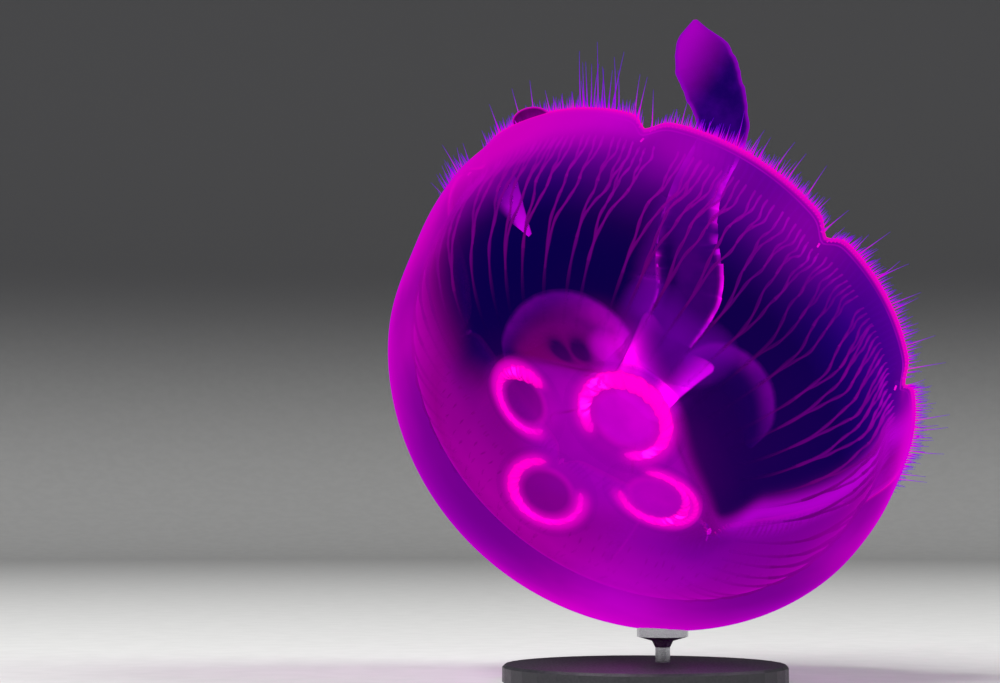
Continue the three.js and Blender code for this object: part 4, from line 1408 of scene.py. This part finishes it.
def arm_blade(generator, material):
    """The first arm's second blade, which runs beside its inner edge and fades away from it."""
    facing, route = ARMS["arm_1"]
    line = catmull_rom(route, ARM_STEPS)
    line = line[:int(BLADE_END * ARM_STEPS)]
    ahead = unit(np.gradient(line[:, :3], axis=0))
    across = unit(np.cross(ahead, np.array(facing, float)))
    place = np.arange(len(line)) / ARM_STEPS
    width = np.interp(place, *np.array(BLADE_WIDTHS).T)
    centre = line[:, :3] - across * (line[:, 3] + width - 2)[:, None] / 2
    route = np.column_stack([centre, width])[::6]
    points, faces, along, side, ridge = ribbon(facing, route, generator, 0.8, curl=1.0)
    fade = smoothstep(side, -1.0, 0.9) ** 1.5 * smoothstep(along, 0.0, 0.1)
    values = {
        "trim": smoothstep(side, 0.80, 1.0),
        "lit": ridge * (1.0 - 0.65 * smoothstep(along, 0.1, 0.8)),
        "lit_trim": ridge * (0.6 - 0.4 * along),
        "flap": np.zeros(len(points)),
        "tip": np.zeros(len(points)),
        "fade": fade * (1 - 0.2 * along),
    }
    piece = make_piece("arm_1_blade", points, faces, [material], values)
    settle(piece, "arm_tissue")


# where the folded lappet fades out, as a share of its half width, along its length
LAPPET_BORDER = ((0, 0.35), (0.3, 0.35), (0.7, 0.7), (0.9, 1.4))
LAPPET_SOFTNESS = 0.45


def folded_lappet():
    generator = np.random.default_rng(31)
    facing, route = FOLDED_LAPPET
    points, faces, along, side, ridge = ribbon(facing, route, generator, 0.15, steps=60)
    border = np.interp(along, *np.array(LAPPET_BORDER).T)
    values = {
        "along": along,
        "shaded_under": 1 - ridge,
        "fade": smoothstep(side, border + LAPPET_SOFTNESS, border - LAPPET_SOFTNESS),
    }
    piece = make_piece("lappet_fold", points, faces, [lappet_tissue()], values)
    settle(piece, "margin_tissue", "folded_lappet")


FOLD_AZIMUTH = 155
FOLD_HALF_LENGTH = 11.5
FOLD_HEIGHT = 6.5
FOLD_HALF_THICKNESS = 0.8
FOLD_SIDES = 64
FOLD_ROWS = 24


def margin_fold():
    """A small thin bulge of the margin, which stands up behind its edge."""
    azimuth = math.radians(FOLD_AZIMUTH)
    edge = float(edge_height(FOLD_AZIMUTH))
    centre = bell_point(azimuth, MARGIN_RADIUS - 1.5, edge + 1.2)
    outward = unit(bell_point(azimuth, MARGIN_RADIUS, edge) * np.array([1, 1, 0]))
    tangent = np.array([-outward[1], outward[0], 0])
    turn = np.arange(FOLD_SIDES) / FOLD_SIDES * TAU
    rim = (tangent * FOLD_HALF_LENGTH * np.cos(turn)[:, None]
           + outward * FOLD_HEIGHT * np.sin(turn)[:, None])
    rows, nearness = [], []
    for tilt in np.linspace(0.05, math.pi - 0.05, FOLD_ROWS):
        lift = FOLD_HALF_THICKNESS * math.cos(tilt)
        rows.append(centre + rim * math.sin(tilt) + np.array([0, 0, lift]))
        nearness.append(np.full(FOLD_SIDES, math.sin(tilt)))
    faces = capped_faces(len(rows), FOLD_SIDES)
    piece = make_piece("margin_fold", np.concatenate(rows), faces, [margin_fold_tissue()],
                       {"near_edge": np.concatenate(nearness)})
    settle(piece, "margin_tissue")


# ---------------------------------------------------------------- sense organs

BULB_RADIUS = 1.17
BULB_NECK_RADIUS = 0.42
BULB_LENGTH = 6.6


def sense_organs():
    material = sense_organ_tissue()
    for index, degrees in enumerate(NOTCH_AZIMUTHS):
        azimuth = math.radians(degrees)
        drop = np.linspace(0, 1, 22)
        height = LOBE_TOP_Z - 0.5 - BULB_LENGTH * drop
        reach = MARGIN_RADIUS - MARGIN_THICKNESS - margin_pull(degrees, height)
        path = bell_point(azimuth, reach, height)
        swell = (BULB_RADIUS - BULB_NECK_RADIUS) * near(drop, 0.72, 0.2)
        radius = BULB_NECK_RADIUS + swell
        radius *= np.sqrt(np.clip((1.001 - drop) * 8, 0, 1))
        points, faces = tube(path, radius, 14)
        piece = make_piece(f"sense_organ_{index + 1}_bulb", points, faces, [material])
        settle(piece, "sense_organ_tissue", f"sense_organ_{index + 1}")


# ---------------------------------------------------------------- the fringe

TENTACLES_PER_LOBE = 165
TENTACLE_STEPS = 7
TENTACLE_SIDES = 4
TENTACLE_ROOT_RADIUS = 0.42
TENTACLE_TIP_RADIUS = 0.07
LOBE_LENGTHS = (6.0, 5.5, 5.5, 5.5, 9.0, 7.5, 7.5, 7.5)  # usual tentacle of each lobe
LENGTH_SPREAD = 0.25
TENTACLE_OUTWARD = 0.75
TENTACLE_DOWN = 0.45
TENTACLE_STRAY = 0.06
LONG_SHARE = 0.04
LONG_LENGTHS = (12, 19)
TUFT = (133, 143)  # azimuths between which every third tentacle is long
TUFT_LENGTHS = (18, 30)
PATCH_SIZE = 0.003


def fringe_lobe(index, generator, material):
    start, end = notch_spans()[index]
    tubes, roots = [], []
    for i in range(TENTACLES_PER_LOBE):
        along = (i + 0.5 + generator.uniform(-0.35, 0.35)) / TENTACLES_PER_LOBE
        degrees = start + (end - start) * (0.02 + 0.96 * along)
        azimuth = math.radians(degrees)
        row = i % 3
        edge = float(edge_height(degrees % 360)) + 0.6 + 0.8 * row
        root = bell_point(azimuth, MARGIN_RADIUS - 1.1 - margin_pull(degrees, edge), edge)
        outward = np.array([math.cos(azimuth), math.sin(azimuth), 0])
        side = np.array([-outward[1], outward[0], 0])
        down = np.array([0, 0, -1.0])
        way = unit(TENTACLE_OUTWARD * outward + TENTACLE_DOWN * down
                   + generator.normal(0, TENTACLE_STRAY) * side
                   + generator.normal(0, TENTACLE_STRAY) * down)
        length = LOBE_LENGTHS[index] * math.exp(generator.normal(0, LENGTH_SPREAD))
        if generator.random() < LONG_SHARE:
            length = generator.uniform(*LONG_LENGTHS)
        in_tuft = TUFT[0] < degrees < TUFT[1] and row == 0
        if in_tuft:
            length = generator.uniform(*TUFT_LENGTHS)
        bend = generator.normal(0, 0.06) * side + generator.normal(0.02, 0.05) * down
        share = np.linspace(0, 1, TENTACLE_STEPS)[:, None]
        path = root + length * (way * share + bend * share ** 2)
        thinner = (TENTACLE_ROOT_RADIUS - TENTACLE_TIP_RADIUS) * share[:, 0] ** 0.55
        radius = TENTACLE_ROOT_RADIUS - thinner
        points, faces = tube(path, radius, TENTACLE_SIDES)
        shade = 0.45 + 0.55 * share[:, 0] if in_tuft else share[:, 0]
        tubes.append((points, faces, np.repeat(shade, TENTACLE_SIDES)))
        roots.append(((degrees / 360) % 1, row))
    points, faces, along = joined(tubes)
    piece = make_piece(f"fringe_{index + 1}", points, faces, [material], {"along": along})
    add_patches(piece, roots)
    return settle(piece, "margin_tissue")


def add_patches(piece, roots):
    """The bake's map: each tentacle is a small patch, placed by its root's azimuth and row."""
    mesh = piece.data
    layer = mesh.uv_layers.new(name="OFBake")
    per_tentacle = TENTACLE_STEPS * TENTACLE_SIDES
    vertex = np.zeros(len(mesh.loops), np.int32)
    mesh.loops.foreach_get("vertex_index", vertex)
    which, within = vertex // per_tentacle, vertex % per_tentacle
    across = (within % TENTACLE_SIDES) / TENTACLE_SIDES
    along = (within // TENTACLE_SIDES) / (TENTACLE_STEPS - 1)
    roots = np.array(roots)
    u = roots[which, 0] + PATCH_SIZE * (across - 0.5)
    v = 0.5 + 0.01 * roots[which, 1] + PATCH_SIZE * (along - 0.5)
    layer.data.foreach_set("uv", np.stack([u, v], axis=1).astype(np.float32).ravel())


def fringe():
    generator = np.random.default_rng(41)
    material = tentacle_tissue()
    for index in range(len(NOTCH_AZIMUTHS)):
        fringe_lobe(index, generator, material)


# ---------------------------------------------------------------- stand

def stand():
    for name, material in (("stand_base", satin_paint()), ("stand_rod", satin_steel())):
        NODES[name].data.materials.clear()
        NODES[name].data.materials.append(material)


# ---------------------------------------------------------------- assembly

def set_render():
    scene = bpy.context.scene
    scene.view_settings.view_transform = "Standard"
    scene.cycles.transparent_max_bounces = 32


set_render()
add_camera()
add_lights()
add_floor()
skin()
oral_jelly()
canals()
gonads()
arms()
folded_lappet()
margin_fold()
sense_organs()
fringe()
stand()
